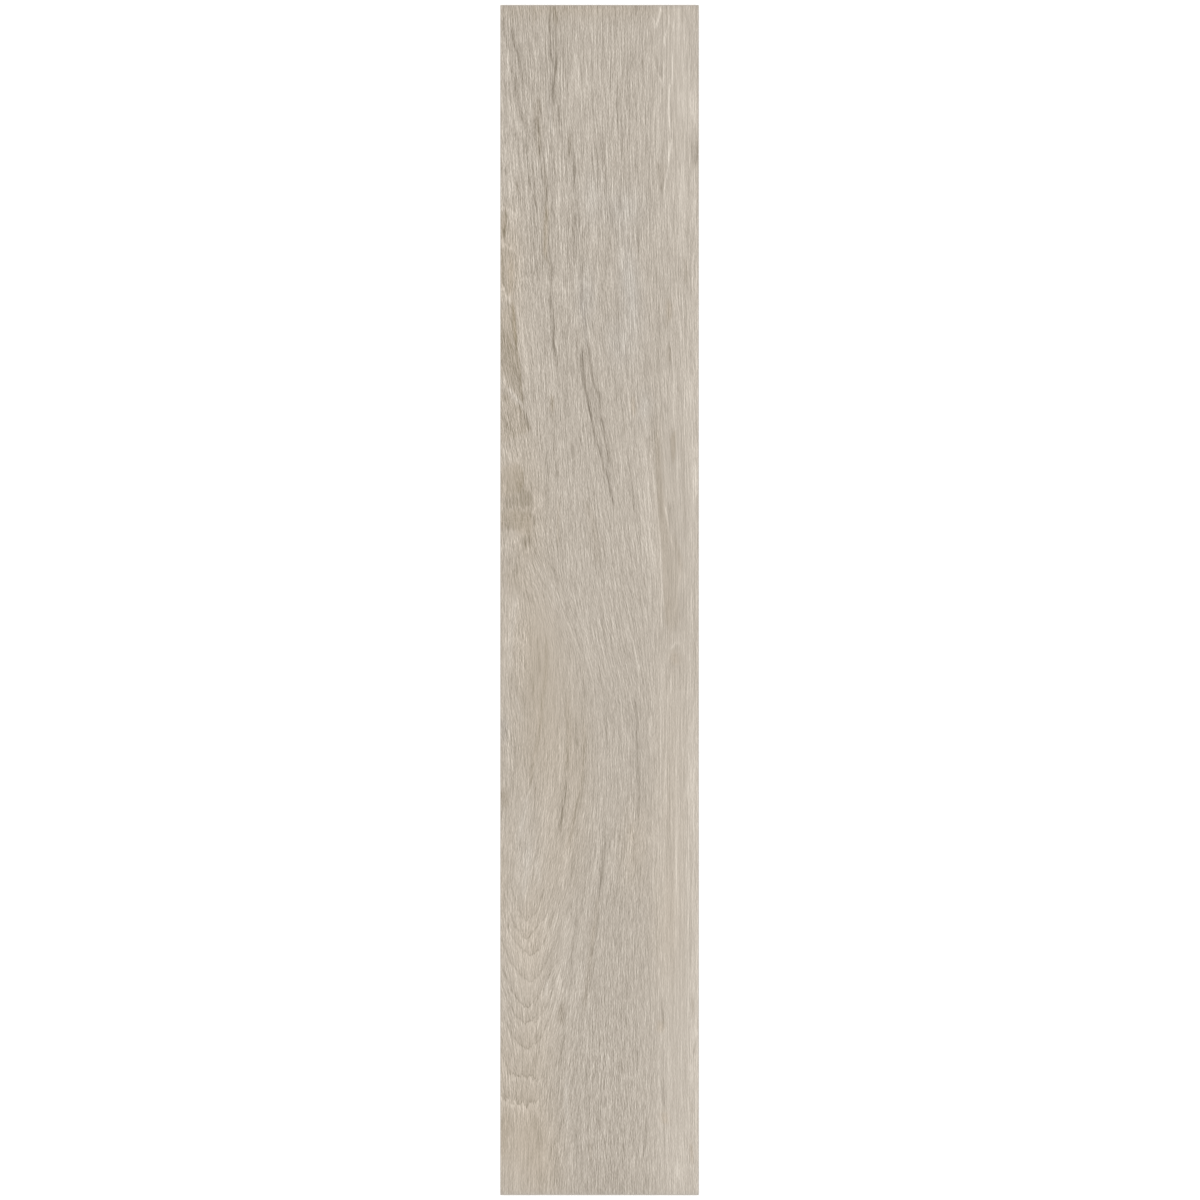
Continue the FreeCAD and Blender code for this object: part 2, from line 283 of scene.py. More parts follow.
# Dark streaks drawn down the grain, in millimetres:
# (points from top to bottom, half width, tone, and warmth if there is any).
darkStreaks = [
    ([(50, 0), (55, 8), (56, 20)], 3.5, -9, 1),
    ([(59, 28), (59, 52)], 3.6, -5),
    ([(11, 22), (13, 38), (18, 52), (21, 66), (22, 80)], 2.0, -18),
    ([(16, 68), (15.5, 80), (17, 95)], 1.8, -17),
    ([(50, 12), (50, 30), (50.5, 46), (52, 62)], 1.0, -26),
    ([(55.5, 20), (56, 40), (56.5, 60)], 1.0, -14),
    ([(55, 2), (55, 16)], 1.2, -10, 1),
    ([(56.5, 55), (55.5, 66), (53.5, 76), (53, 88), (53.5, 99)], 1.9, -21),
    ([(57.5, 91), (58.3, 102), (60, 118)], 1.0, -21),
    ([(51, 70), (51.5, 84), (53, 98)], 1.2, -12),
    ([(39, 94), (39.3, 109)], 1.3, -25, 1),
    ([(35.3, 111), (35, 121), (34.3, 133)], 1.1, -15),
    ([(37.8, 114), (38, 122), (39, 132), (40, 142), (38.5, 155)], 1.2, -21, 1),
    ([(37.5, 96), (38, 152)], 3.4, -8, 1),
    ([(26, 105), (26, 130), (26, 150)], 1.2, -9),
    ([(70, 130), (70.5, 144), (68.5, 154)], 1.9, -15, 1),
    ([(72, 130), (75, 160), (76, 182)], 1.4, -9),
    ([(76, 158), (75, 172), (74.5, 180), (77, 190)], 1.8, -12),
    ([(43, 160), (44.5, 172), (46, 186), (46.8, 204), (48, 214)], 2.0, -13, 1),
    ([(40.3, 164), (40.6, 176)], 1.0, -13),
    ([(28, 171), (28.5, 180)], 1.0, -14),
    ([(34, 180), (34.4, 191)], 0.9, -11),
    ([(46, 205), (45.5, 222), (45.5, 236), (46.3, 254)], 2.4, -12, 4),
    ([(49, 236), (49.5, 260)], 0.9, -13),
    ([(47, 250), (50, 262), (51, 270)], 1.3, -17, 1),
    ([(52, 266), (51.5, 280), (51, 292), (51, 302)], 1.3, -20),
    ([(51, 298), (52, 314), (53.5, 322), (54, 340), (56, 356), (57, 368)], 1.4, -24),
    ([(77, 195), (75, 214), (74, 228), (74.5, 244), (74, 264)], 1.9, -16),
    ([(80, 205), (81, 225), (80, 242)], 1.5, -9),
    ([(82, 250), (83, 264), (83, 280), (81, 300)], 1.3, -14),
    ([(16.5, 178), (17, 189)], 2.0, -13, 1),
    ([(28.5, 170), (31, 186), (35, 198), (40, 210)], 1.3, -13),
    ([(6, 160), (5.5, 171)], 1.3, -19),
    ([(25.5, 139), (26, 148)], 1.1, -15),
    ([(20, 98), (22, 112), (25, 124)], 1.2, -10),
    ([(5, 206), (4, 220), (3, 234)], 1.8, -25, 2),
    ([(2, 244), (2.5, 256), (2.5, 284)], 1.5, -12, 1),
    ([(11, 258), (11, 292)], 2.6, -6, 2),
    ([(3, 8), (4, 32)], 1.5, -6),
    ([(13, 0), (12, 20)], 1.0, -9, 1),
    ([(22, 0), (21, 20)], 1.0, -8, 1),
    ([(34, 0), (33, 20)], 2.0, -5, 1),
    ([(41, 0), (40, 15)], 1.0, -8, 1),
    ([(90, 0), (90, 15)], 5.5, -4),
    ([(103, 0), (103, 20)], 1.2, -8),
    ([(128, 0), (128, 30)], 1.0, -8),
    ([(137, 0), (136, 9)], 1.2, -11),
    ([(145, 0), (145, 30)], 1.2, -5),
    ([(128, 48), (129, 80)], 1.0, -10),
    ([(143, 52), (143.5, 68)], 1.2, -11),
    ([(102, 30), (104, 50), (105, 62)], 1.0, -9),
    ([(93, 56), (92, 76)], 1.5, -8),
    ([(118, 80), (118, 110)], 0.9, -7),
    ([(130, 95), (131, 116)], 2.2, -5),
    ([(95, 100), (97, 130), (97, 156)], 1.2, -10),
    ([(104, 150), (106, 175), (105, 196)], 1.8, -8),
    ([(137, 156), (139, 176), (140, 184)], 1.0, -13),
    ([(146, 105), (147, 125), (149, 146)], 1.0, -10),
    ([(98, 204), (99, 217)], 1.0, -8),
    ([(110, 204), (110, 240), (112, 262)], 4.6, -4),
    ([(103, 250), (105, 292)], 1.0, -8),
    ([(138, 205), (139, 235), (140, 257)], 1.0, -11),
    ([(150, 180), (151, 216)], 1.0, -9),
    ([(150, 255), (148, 278), (143, 300)], 2.0, -5),
    ([(153, 60), (154, 87)], 1.6, -5),
    ([(156.6, 52), (159.1, 63), (161.9, 73)], 1.8, -14),
    ([(163.8, 58), (162.8, 70)], 1.0, -6),
    ([(150.2, 84), (151.7, 97)], 1.0, -12),
    ([(158, 158), (160.5, 174), (163, 189)], 1.4, -9),
    ([(167, 166), (165, 178), (163.5, 188)], 1.4, -6),
    ([(173, 98), (174, 120)], 0.9, -8),
    ([(183.3, 0), (183.3, 16)], 0.9, -9),
    ([(187.2, 3), (187.5, 15)], 1.2, -12),
    ([(189.7, 12), (190.2, 28), (190.7, 40), (190.7, 56)], 1.1, -11),
    ([(188.5, 45), (189, 70)], 1.0, -6),
    ([(193, 138), (195, 150), (196, 162)], 3.6, -8),
    ([(187, 256), (188, 268), (187.5, 281)], 2.2, -13, 1),
    ([(12, 300), (13.5, 312), (14.5, 324), (15.5, 340)], 1.7, -19, 4),
    ([(15, 336), (17, 356), (20, 372), (21, 388), (22, 404)], 1.6, -11, 1),
    ([(8, 336), (11, 346), (15, 356)], 1.2, -9, 1),
    ([(5, 380), (7, 400)], 2.2, -11, 1),
    ([(19, 402), (20.5, 413)], 1.4, -12, 1),
    ([(24, 411), (26.5, 420), (29.5, 429)], 1.5, -24),
    ([(22.6, 468), (23, 477), (22.5, 486)], 1.3, -15, 1),
    ([(19, 480), (19, 491)], 2.0, -9, 1),
    ([(12.6, 493), (13.3, 504)], 0.8, -13),
    ([(16.8, 495), (17.2, 507)], 0.8, -8),
    ([(14.5, 504), (14.8, 513)], 0.8, -9),
    ([(30.3, 507), (30.8, 518)], 0.8, -9),
    ([(33, 514), (33.5, 524)], 1.4, -17),
    ([(29, 531), (29, 543)], 1.0, -13),
    ([(25.3, 535), (25.3, 550)], 0.9, -15),
    ([(35, 546), (37, 554)], 1.0, -11),
    ([(27, 530), (26, 550)], 3.0, -4),
    ([(12, 558), (15, 577)], 2.6, -6),
    ([(25, 590), (30, 603)], 4.0, -5),
    ([(66, 360), (67, 385), (69, 412)], 4.6, -5),
    ([(52, 394), (52.5, 410)], 1.8, -13, 3),
    ([(54, 428), (56, 450), (57, 466), (58, 478)], 1.3, -12),
    ([(72, 434), (73, 456), (74, 476)], 1.1, -9),
    ([(83, 348), (82.5, 362), (84, 374), (86.5, 390), (89.5, 408)], 1.5, -22),
    ([(89, 404), (93, 424), (97, 440), (101, 453)], 1.7, -21),
    ([(100, 448), (105, 466), (109, 478), (112, 492), (115, 506)], 1.2, -19),
    ([(46.5, 455), (47, 478), (48, 500)], 0.8, -10),
    ([(58.5, 498), (58, 520), (58.5, 545)], 0.7, -8, 2),
    ([(81, 298), (85, 320), (88, 345)], 1.4, -11, -1),
    ([(88, 342), (90, 360), (93.5, 376), (96, 386), (100, 398)], 1.6, -16),
    ([(100, 388), (101.5, 412), (105, 430), (108, 446), (109, 466), (110, 480)], 1.5, -15),
    ([(108, 298), (109, 327)], 1.1, -7),
    ([(119, 298), (120, 330), (121, 357)], 1.1, -8),
    ([(121, 380), (123, 400), (124, 420), (126, 440), (129, 460)], 1.2, -9),
    ([(129, 458), (132, 478), (134, 490), (138, 522)], 1.2, -12),
    ([(134, 396), (135, 413)], 2.2, -5, 3),
    ([(150, 434), (150, 452)], 1.1, -12),
    ([(147, 346), (146, 377)], 1.1, -9),
    ([(151, 512), (152, 528), (153, 541)], 1.2, -12),
    ([(158, 300), (160, 340), (158, 372)], 1.6, -5),
    ([(156, 414), (159, 440), (160, 462), (161, 480), (162, 500), (163, 518)], 2.2, -7),
    ([(163, 510), (165, 530), (168, 550), (170, 580), (170, 603)], 3.0, -2),
    ([(171, 503), (172, 527)], 2.6, -9),
    ([(175, 535), (180, 552), (183, 571)], 2.2, -9, 1),
    ([(174, 428), (174, 450), (173, 463)], 3.2, -5),
    ([(170, 298), (170, 318)], 3.0, -11, 3),
    ([(168, 318), (167, 327)], 1.5, -8, 1),
    ([(170, 344), (170.5, 361)], 2.0, -13, 1),
    ([(166, 396), (167, 411)], 1.2, -8),
    ([(85, 500), (92, 515), (96, 535), (98, 562)], 4.4, -5, 1),
    ([(60, 518), (62, 543)], 3.0, -6),
    ([(42, 556), (50, 564), (55, 572), (58, 585)], 1.2, -14),
    ([(26, 592), (30, 598), (35, 607)], 0.9, -12),
    ([(36, 571), (44, 583), (53, 597)], 0.6, -6),
    ([(46, 574), (54, 586), (62, 598)], 0.6, -7),
    ([(30, 574), (38, 588), (45, 599)], 0.6, -6),
    ([(62, 606), (69, 620), (76, 634)], 0.6, -7),
    ([(92, 646), (99, 659), (105, 672)], 0.6, -6),
    ([(70, 568), (73, 587)], 1.6, -6),
    ([(140, 533), (140, 557)], 1.6, -6),
    ([(38, 638), (38.5, 655), (39, 676)], 1.6, -11),
    ([(47, 640), (46, 665), (45, 685), (42, 700), (40, 725), (36, 745), (33, 765), (30, 787)], 2.0, -8, 1),
    ([(33, 676), (33, 692)], 1.2, -7),
    ([(12, 678), (15, 693)], 3.0, -6),
    ([(25, 693), (27, 717)], 3.2, -6),
    ([(2, 720), (4, 743)], 4.2, -6, -1),
    ([(15, 744), (14, 765), (13, 793)], 1.2, -8),
    ([(4, 791), (6, 808)], 4.0, -7, 1),
    ([(34, 776), (35.5, 791)], 1.5, -8),
    ([(70, 642), (71, 663)], 2.0, -7),
    ([(80, 638), (82, 653)], 1.2, -7),
    ([(84, 678), (85.5, 690), (85, 699)], 1.6, -9),
    ([(100, 669), (101, 691)], 1.3, -8),
    ([(68, 698), (69, 740), (67, 773)], 2.6, -7, 1),
    ([(76, 719), (76.5, 734), (77.5, 748)], 1.2, -17),
    ([(84, 725), (85, 750), (82, 780), (79, 800), (74, 820), (71, 840), (68, 853)], 2.2, -7, 1),
    ([(66, 783), (65, 798), (63, 810), (61.5, 820), (58.5, 838)], 1.5, -25),
    ([(38, 836), (37, 850), (34, 866), (32, 880), (29, 890)], 1.5, -7),
    ([(33, 790), (33, 833)], 4.6, -3),
    ([(107, 713), (108, 748)], 1.0, -10),
    ([(106, 820), (105, 850), (103.5, 866), (102.5, 880), (100, 900)], 1.5, -15),
    ([(102.5, 870), (101, 896)], 1.5, -8),
    ([(130, 642), (130, 661)], 5.0, -4),
    ([(135, 698), (137, 720), (138, 745), (139, 770), (139, 800), (138, 818)], 1.8, -9),
    ([(140, 750), (139.5, 766), (140, 785)], 1.3, -6),
    ([(133, 753), (132, 793)], 1.6, -6),
    ([(133, 826), (132, 843)], 2.2, -7, 1),
    ([(136, 850), (135, 883)], 1.6, -7),
    ([(124, 843), (122, 868)], 2.2, -6),
    ([(128, 720), (128.5, 733)], 1.4, -8),
    ([(148.5, 736), (149.5, 773)], 0.9, -8),
    ([(170, 600), (168, 612), (168.5, 625)], 3.4, -5, 1),
    ([(178, 598), (178, 628)], 2.2, -5, 1),
    ([(163, 628), (162, 653)], 2.2, -6),
    ([(175, 662), (170, 683)], 1.0, -9),
    ([(175, 652), (177, 665)], 4.6, -5, 2),
    ([(192, 850), (193, 876)], 1.3, -6),
    ([(189, 800), (189, 830)], 1.3, -8),
    ([(66, 600), (67, 613)], 1.3, -7),
    ([(57, 605), (58, 621)], 1.3, -7),
    ([(74, 853), (73, 870), (70, 893)], 1.6, -9),
    ([(80, 830), (80, 903)], 5.5, -3),
    ([(116, 888), (118, 906)], 3.4, -5),
    ([(150, 886), (150, 901)], 2.2, -5),
    ([(98, 900), (96, 925), (93, 945), (91, 960), (89, 980), (84, 1012)], 2.6, -9, 1),
    ([(84, 1010), (80, 1030), (78, 1053)], 2.2, -5),
    ([(94, 928), (93, 947)], 1.8, -3, 1),
    ([(96, 982), (96, 1008)], 1.2, -8),
    ([(70, 902), (71, 918)], 1.7, -9),
    ([(76, 912), (75, 930), (73, 945), (72, 960), (70, 978)], 1.4, -11),
    ([(63, 1007), (61, 1028)], 3.2, -17, 1),
    ([(64, 1038), (61, 1055), (59, 1073)], 1.4, -12),
    ([(38, 1037), (38, 1063)], 2.8, -5),
    ([(5, 1115), (4, 1140), (3, 1163)], 4.0, -4, 1),
    ([(36, 1122), (38, 1140), (39, 1158)], 3.2, -10),
    ([(38, 1172), (42, 1198)], 2.8, -6),
    ([(26, 1132), (27, 1173)], 2.2, -5),
    ([(64, 1120), (60, 1135), (55, 1148), (51, 1156), (49, 1168)], 1.0, -11),
    ([(57, 1157), (60, 1198)], 3.2, -5),
    ([(83, 1157), (82, 1175), (80, 1188)], 1.7, -10),
    ([(75, 1137), (77, 1153)], 2.8, -5),
    ([(90, 1147), (91, 1168)], 1.3, -11, 1),
    ([(96, 1067), (95, 1088)], 1.4, -8),
    ([(88, 1073), (88, 1108)], 1.7, -7),
    ([(124.5, 1147), (124, 1168)], 1.3, -13),
    ([(133, 1117), (134, 1153)], 0.9, -9),
    ([(147, 1117), (147, 1140), (143, 1168)], 1.2, -9),
    ([(148, 1182), (146, 1200)], 2.2, -9),
    ([(120, 1187), (122, 1200)], 2.2, -8),
    ([(116, 932), (116, 958)], 1.3, -6),
    ([(146, 927), (148, 948)], 2.2, -6),
    ([(142, 962), (142, 983)], 2.2, -8),
    ([(125, 897), (125, 913)], 4.4, -4),
    ([(128, 987), (127, 1003)], 1.2, -8),
    ([(126, 1017), (126, 1031)], 1.2, -8),
    ([(135, 1022), (136, 1038)], 1.2, -8),
    ([(118, 1077), (119, 1098)], 1.2, -8),
    ([(138, 1052), (139, 1073)], 1.2, -8),
    ([(109, 1043), (109, 1057)], 1.2, -6),
    ([(162, 1000), (164, 1020), (165, 1034)], 1.4, -14),
    ([(161, 1025), (161, 1036)], 4.0, -4, 3),
    ([(164, 1082), (164.5, 1095), (165.5, 1110)], 1.3, -15),
    ([(165, 1116), (166, 1128)], 4.0, -4, 3),
    ([(176, 957), (176, 978)], 0.9, -11),
    ([(193, 1000), (194.5, 1020)], 1.3, -12, 1),
    ([(196, 1040), (195, 1060)], 1.2, -8),
    ([(192, 1148), (194, 1168)], 1.5, -13, 3),
    ([(191, 1100), (194, 1118)], 1.0, -8, 1),
]

# Light streaks, in the same form.
lightStreaks = [
    ([(162.3, 0), (160.6, 8), (159.4, 15), (156.6, 22)], 0.75, 38),
    ([(154.6, 13), (155.1, 18), (156.6, 23)], 0.8, 22),
    ([(170.2, 9), (170, 20)], 0.8, 24),
    ([(168.5, 23), (167.5, 29), (165.5, 32), (164.8, 40)], 0.7, 32),
    ([(165.3, 37), (166, 45)], 0.7, 14),
    ([(165.5, 57), (164.8, 66), (164.3, 74), (163.6, 82)], 0.8, 24),
    ([(175.4, 0), (175.4, 14), (173.9, 26)], 0.9, 15),
    ([(180.3, 0), (180.1, 24)], 0.9, 12),
    ([(184.8, 12), (185.2, 38)], 0.8, 9),
    ([(183.8, 45), (183.8, 75)], 0.8, 8),
    ([(188.7, 25), (188.7, 50)], 0.8, 8),
    ([(153.2, 50), (155.2, 60), (157.6, 69)], 0.8, 15),
    ([(178, 0), (178, 30), (180, 60), (180, 100), (182, 150), (180, 184)], 4.5, 4),
    ([(173.2, 48), (173.4, 62), (173.1, 76), (172, 80), (170.5, 84), (170.2, 110), (171, 130)], 0.65, 32),
    ([(172.3, 136), (170.8, 148), (169.6, 157)], 0.9, 38),
    ([(169.5, 159), (167, 173), (165.5, 183), (164, 191)], 0.75, 22),
    ([(158.1, 69), (160.6, 74), (163.5, 82)], 1.0, 21),
    ([(160, 85), (159, 120), (160, 153)], 2.2, 6),
    ([(194, 87), (194, 105), (196, 117)], 3.4, 12),
    ([(182, 87), (184, 117)], 2.2, 9),
    ([(167, 190), (168, 215), (166, 237)], 2.2, 7),
    ([(182, 187), (182, 213)], 1.6, 10),
    ([(184, 160), (183, 240), (181, 257)], 2.2, 6),
    ([(194, 168), (194, 227)], 2.2, 8),
    ([(76, 28), (76, 50), (78, 80), (79, 103)], 1.6, 9),
    ([(33, 35), (34, 61)], 1.0, 7),
    ([(8, 47), (8, 71)], 1.2, 8),
    ([(4, 142), (5, 157)], 1.2, 18),
    ([(12, 100), (14, 112)], 0.9, 14),
    ([(17, 118), (19, 129)], 0.9, 14),
    ([(27, 110), (29, 121)], 0.9, 11),
    ([(2, 166), (3, 178)], 1.0, 15),
    ([(10, 168), (12, 180)], 0.9, 15),
    ([(14, 180), (17, 191)], 1.0, 13),
    ([(26, 165), (28, 178)], 0.9, 13),
    ([(20, 196), (23, 207)], 0.9, 13),
    ([(9, 190), (11, 200)], 0.9, 12),
    ([(31, 189), (29, 199)], 1.0, 11),
    ([(22, 55), (23, 76)], 1.0, 8),
    ([(59, 60), (60, 81)], 1.0, 9),
    ([(47, 85), (48, 98), (50, 112), (51, 128)], 1.0, 5, -1),
    ([(90, 165), (93, 200), (97, 232), (98, 247)], 1.6, 6),
    ([(113, 80), (115, 110), (118, 140), (119, 161)], 1.0, 9),
    ([(120, 58), (121, 91)], 1.2, 8),
    ([(125, 188), (127, 215), (128, 237)], 3.4, 7),
    ([(122, 240), (122, 263)], 1.2, 9),
    ([(132, 262), (134, 293)], 5.5, 5),
    ([(137, 30), (138, 60), (137, 87)], 1.2, 6),
    ([(149, 47), (150, 67)], 2.0, 6),
    ([(59, 150), (60, 190), (62, 230), (65, 293)], 2.2, 4),
    ([(16.5, 303), (20, 320), (23.5, 340), (26.5, 360), (29.5, 390)], 2.2, 11),
    ([(1, 374), (8, 386), (15, 395), (21, 404)], 2.7, 20, -1),
    ([(17, 445), (18, 463)], 3.0, 6),
    ([(26, 474), (27.5, 488)], 1.0, 9),
    ([(4.5, 484), (5, 496)], 1.6, 10),
    ([(10, 493), (11, 501)], 0.9, 13),
    ([(16.5, 506), (17.3, 514)], 0.8, 12),
    ([(34, 493), (34.5, 502)], 0.9, 13),
    ([(39.5, 502), (39.8, 511)], 0.8, 9),
    ([(36, 513), (36.5, 522)], 0.8, 9),
    ([(43.5, 510), (44, 519)], 0.8, 8),
    ([(41.5, 521), (42, 529)], 0.9, 10),
    ([(24.5, 532), (24.5, 538)], 4.5, 10),
    ([(28, 546), (28, 553)], 1.2, 12),
    ([(32, 546), (32.5, 553)], 1.0, 10),
    ([(9, 545), (9.5, 552)], 2.0, 7),
    ([(133, 300), (138, 340), (141, 373)], 1.6, 8),
    ([(126, 307), (127, 343)], 1.2, 8),
    ([(129, 377), (130, 413)], 1.0, 11),
    ([(147, 403), (148, 433)], 1.7, 9),
    ([(145, 440), (148, 480), (150, 510), (153, 545), (156, 573)], 3.2, 8),
    ([(140, 480), (143, 510), (147, 541)], 1.6, 8),
    ([(122, 467), (122, 493)], 1.0, 9),
    ([(165.5, 504), (167.5, 515), (169.3, 525)], 0.8, 25),
    ([(169.5, 526), (171.9, 538), (175.9, 550)], 0.8, 13),
    ([(151, 450), (154.7, 480), (157.6, 505), (159.6, 525), (161.6, 550), (163, 575), (163.5, 605)],
     0.75, 19),
    ([(158.6, 418), (159.6, 437)], 0.8, 18),
    ([(181.8, 574), (179.3, 590), (177.4, 603), (175.9, 617)], 0.8, 15),
    ([(184.8, 570), (186.7, 590), (188.7, 610), (190.7, 625)], 0.9, 9),
    ([(165, 445), (166, 470), (166, 503)], 1.2, 8),
    ([(175, 383), (174, 423)], 1.6, 9),
    ([(190, 377), (191, 403)], 4.0, 4),
    ([(197, 464), (197, 493)], 2.2, 11),
    ([(178, 298), (181, 320), (185, 340)], 0.9, 12),
    ([(61, 447), (62, 467)], 1.6, 8),
    ([(64, 477), (65, 503)], 2.2, 5),
    ([(186, 542), (185, 583)], 2.2, 7),
    ([(34, 563), (43, 578), (53, 594), (61, 608)], 0.7, 11, -1),
    ([(38, 564), (48, 579), (58, 595), (67, 611)], 0.6, 10, -1),
    ([(29, 565), (38, 580), (48, 596), (57, 611)], 0.7, 9, -1),
    ([(26, 570), (33, 582), (41, 595)], 0.6, 8, -1),
    ([(62, 600), (70, 614), (77, 628), (84, 642)], 0.7, 5),
    ([(57, 605), (65, 620), (72, 634)], 0.6, 6),
    ([(95, 640), (102, 652), (110, 668)], 0.7, 7),
    ([(89, 642), (97, 657), (104, 670)], 0.6, 6),
    ([(50, 577), (58, 603)], 3.2, 3),
    ([(110, 557), (117, 593)], 1.6, 6),
    ([(15, 598), (13, 620), (10, 645), (9, 663)], 2.8, 8, -1),
    ([(27, 637), (26, 663)], 1.7, 6),
    ([(16, 697), (20, 723)], 1.7, 6, -1),
    ([(80, 608), (84, 625), (90, 640), (95, 655), (98, 673)], 1.0, 4),
    ([(97, 600), (103, 641)], 1.2, 5),
    ([(108, 604), (113, 620), (118, 641)], 0.9, 8),
    ([(124, 612), (130, 640), (132, 651)], 1.0, 12),
    ([(134, 645), (138, 656), (145, 673)], 1.0, 8),
    ([(141, 662), (143, 678)], 1.6, 6),
    ([(63, 727), (62, 760), (60, 783)], 2.2, 6),
    ([(53, 767), (50, 800), (48, 832), (44, 852), (38, 883)], 2.0, 5),
    ([(52, 817), (53, 843)], 1.6, 7),
    ([(27, 797), (24, 815), (20, 835), (17, 843)], 2.2, 8, -1),
    ([(30, 847), (27, 875), (22, 898)], 3.2, 7, -1),
    ([(36, 862), (40, 888)], 2.4, 4, -1),
    ([(66, 847), (65, 870), (62, 890), (60, 903)], 2.8, 8),
    ([(104, 778), (101, 810), (98, 850), (94, 883)], 1.6, 7),
    ([(112, 727), (112, 753)], 0.9, 9),
    ([(152, 717), (151, 753)], 1.7, 8),
    ([(165, 657), (163, 703)], 2.2, 6),
    ([(173, 649), (172, 680), (169, 710), (168, 740), (166, 770), (167, 813)], 1.0, 11),
    ([(192, 768), (193, 800), (194, 832)], 2.4, 5),
    ([(158, 742), (158, 900)], 0.8, 5),
    ([(155, 820), (155, 1000)], 0.8, 7),
    ([(165, 820), (165.5, 930)], 0.8, 6),
    ([(177, 830), (177.5, 902)], 0.8, 8),
    ([(130, 834), (128, 855), (124, 873)], 1.2, 10),
    ([(134, 830), (131, 851)], 0.9, 9),
    ([(88, 898), (83, 925), (79, 960)], 1.7, 6),
    ([(66, 922), (65, 945), (62, 960), (59, 975), (60, 998)], 2.2, 9),
    ([(57, 902), (57, 923)], 1.7, 5),
    ([(30, 962), (30, 988)], 3.2, 5),
    ([(48, 917), (44, 938)], 1.7, 7),
    ([(48, 982), (44, 1003)], 1.7, 9, -1),
    ([(10, 967), (15, 985), (22, 1008)], 2.2, 5),
    ([(34, 1027), (34, 1053)], 1.7, 8),
    ([(78, 962), (77, 988)], 1.7, 7),
    ([(72, 997), (70, 1020), (66, 1043)], 1.7, 5),
    ([(119, 962), (118, 988)], 1.2, 6),
    ([(110, 1057), (108, 1093)], 1.7, 6),
    ([(141, 1057), (142, 1083)], 1.7, 6),
    ([(68, 1082), (67, 1110), (67, 1128)], 2.2, 9, -1),
    ([(55, 1127), (50, 1143)], 2.2, 5),
    ([(17, 1167), (18, 1198)], 1.7, 9),
    ([(70, 1147), (72, 1173)], 1.7, 6),
    ([(154, 1127), (156, 1173)], 2.8, 3),
    ([(178, 1167), (180, 1188)], 3.2, 11),
    ([(190, 987), (189, 1023)], 2.2, 5),
    ([(192, 1067), (192, 1088)], 1.7, 12),
    ([(159, 1080), (159, 1140)], 1.2, 6),
]

# Growth rings that cross the fibres, most of them at the left: (points from left to right,
# tone of the torn line, tone of the wood just below it, how ragged the line is).
growthRings = [
    ([(0, 203), (8, 206), (16, 211), (24, 219)], 24, 4, 1.1),
    ([(0, 239), (6, 242), (14, 247), (22, 256)], 24, -5, 1.1),
    ([(0, 283), (5, 291), (11, 298), (16, 307)], 46, 6, 1.3),
    ([(168, 664), (172, 650), (178, 643), (184, 647), (188, 660)], 16, -7, 0.5),
    ([(0, 446), (10, 454), (20, 461), (30, 469)], 18, 3, 1.1),
    ([(0, 549), (8, 541), (16, 540), (24, 546), (32, 560)], 16, 3, 0.9),
    ([(0, 532), (12, 530), (24, 528), (34, 524)], 6, 7, 0.6),
    ([(8, 880), (18, 912), (26, 925), (38, 912), (46, 886), (54, 852)], -18, 6, 0.5),
    ([(4, 898), (14, 928), (26, 943), (36, 931), (46, 918), (52, 898), (58, 872)], -18, 7, 0.4),
    ([(0, 906), (10, 936), (20, 951), (31, 959), (40, 952), (50, 930), (58, 902), (66, 868)],
     -19, 9, 0.5),
    ([(0, 940), (10, 964), (20, 978), (31, 986), (42, 974), (52, 954), (62, 926)], -15, 6, 0.5),
    ([(0, 966), (10, 992), (20, 1006), (28, 1012), (38, 1000), (46, 985), (53, 970), (64, 930)],
     -21, 9, 0.5),
    ([(0, 980), (6, 1000), (14, 1018), (25, 1027), (38, 1022), (48, 1006), (58, 976), (66, 944)],
     -19, 7, 0.6),
    ([(0, 1012), (10, 1036), (20, 1049), (28, 1053), (38, 1045), (48, 1028), (58, 1000)], -21, 8, 0.6),
    ([(0, 1057), (6, 1068), (9, 1077), (18, 1080), (28, 1080), (38, 1084), (46, 1078)], -28, 11, 0.9),
    ([(0, 1100), (8, 1104), (18, 1108), (28, 1109), (38, 1106), (45, 1100)], -16, 17, 1.2),
    ([(0, 508), (8, 510), (15, 507), (22, 511), (30, 507), (44, 503)], 15, -3, 1.3),
]

# How the drawn streaks are printed.
streakStyle = {
    "dark": 1.3,         # times their tone
    "light": 1.15,
    "spread": 1.05,      # times their half width
    "wander": 0.35,      # mm that a line sways, and the rows over which it does
    "wanderRows": 6,
    "fade": 14.0,        # most mm over which an end fades, and its share of the length
    "fadeShare": 0.4,
    "taper": 0.4,        # share of the width that is lost at the ends
}

# How the growth rings are printed, in mm.
ringStyle = {
    "reach": 14.0,       # to either side, fading out over the last of it
    "reachFade": 4.0,
    "far": 60.0,         # stands for no ring near by
    "rightFade": 14.0,
    "leftFade": 8.0,     # of dark rings, and of light ones that begin inside the face
    "leftLeast": 0.4,    # what is left of them at that end
    "slopePoints": 13,   # over which the slope is averaged
    "darkFine": 1.5,     # sharpness of dark and light torn lines
    "lightFine": 0.45,
}

# Fine fibres keep their width, so their lines start anew at this pitch, in two sets that take turns.
turnPitch = 160

# Straight lines of the right edge: where they begin, and where along the plank they are faint.
stripeZone = {"start": 148.0, "rise": 12.0, "faintAt": 250.0, "least": 0.3}

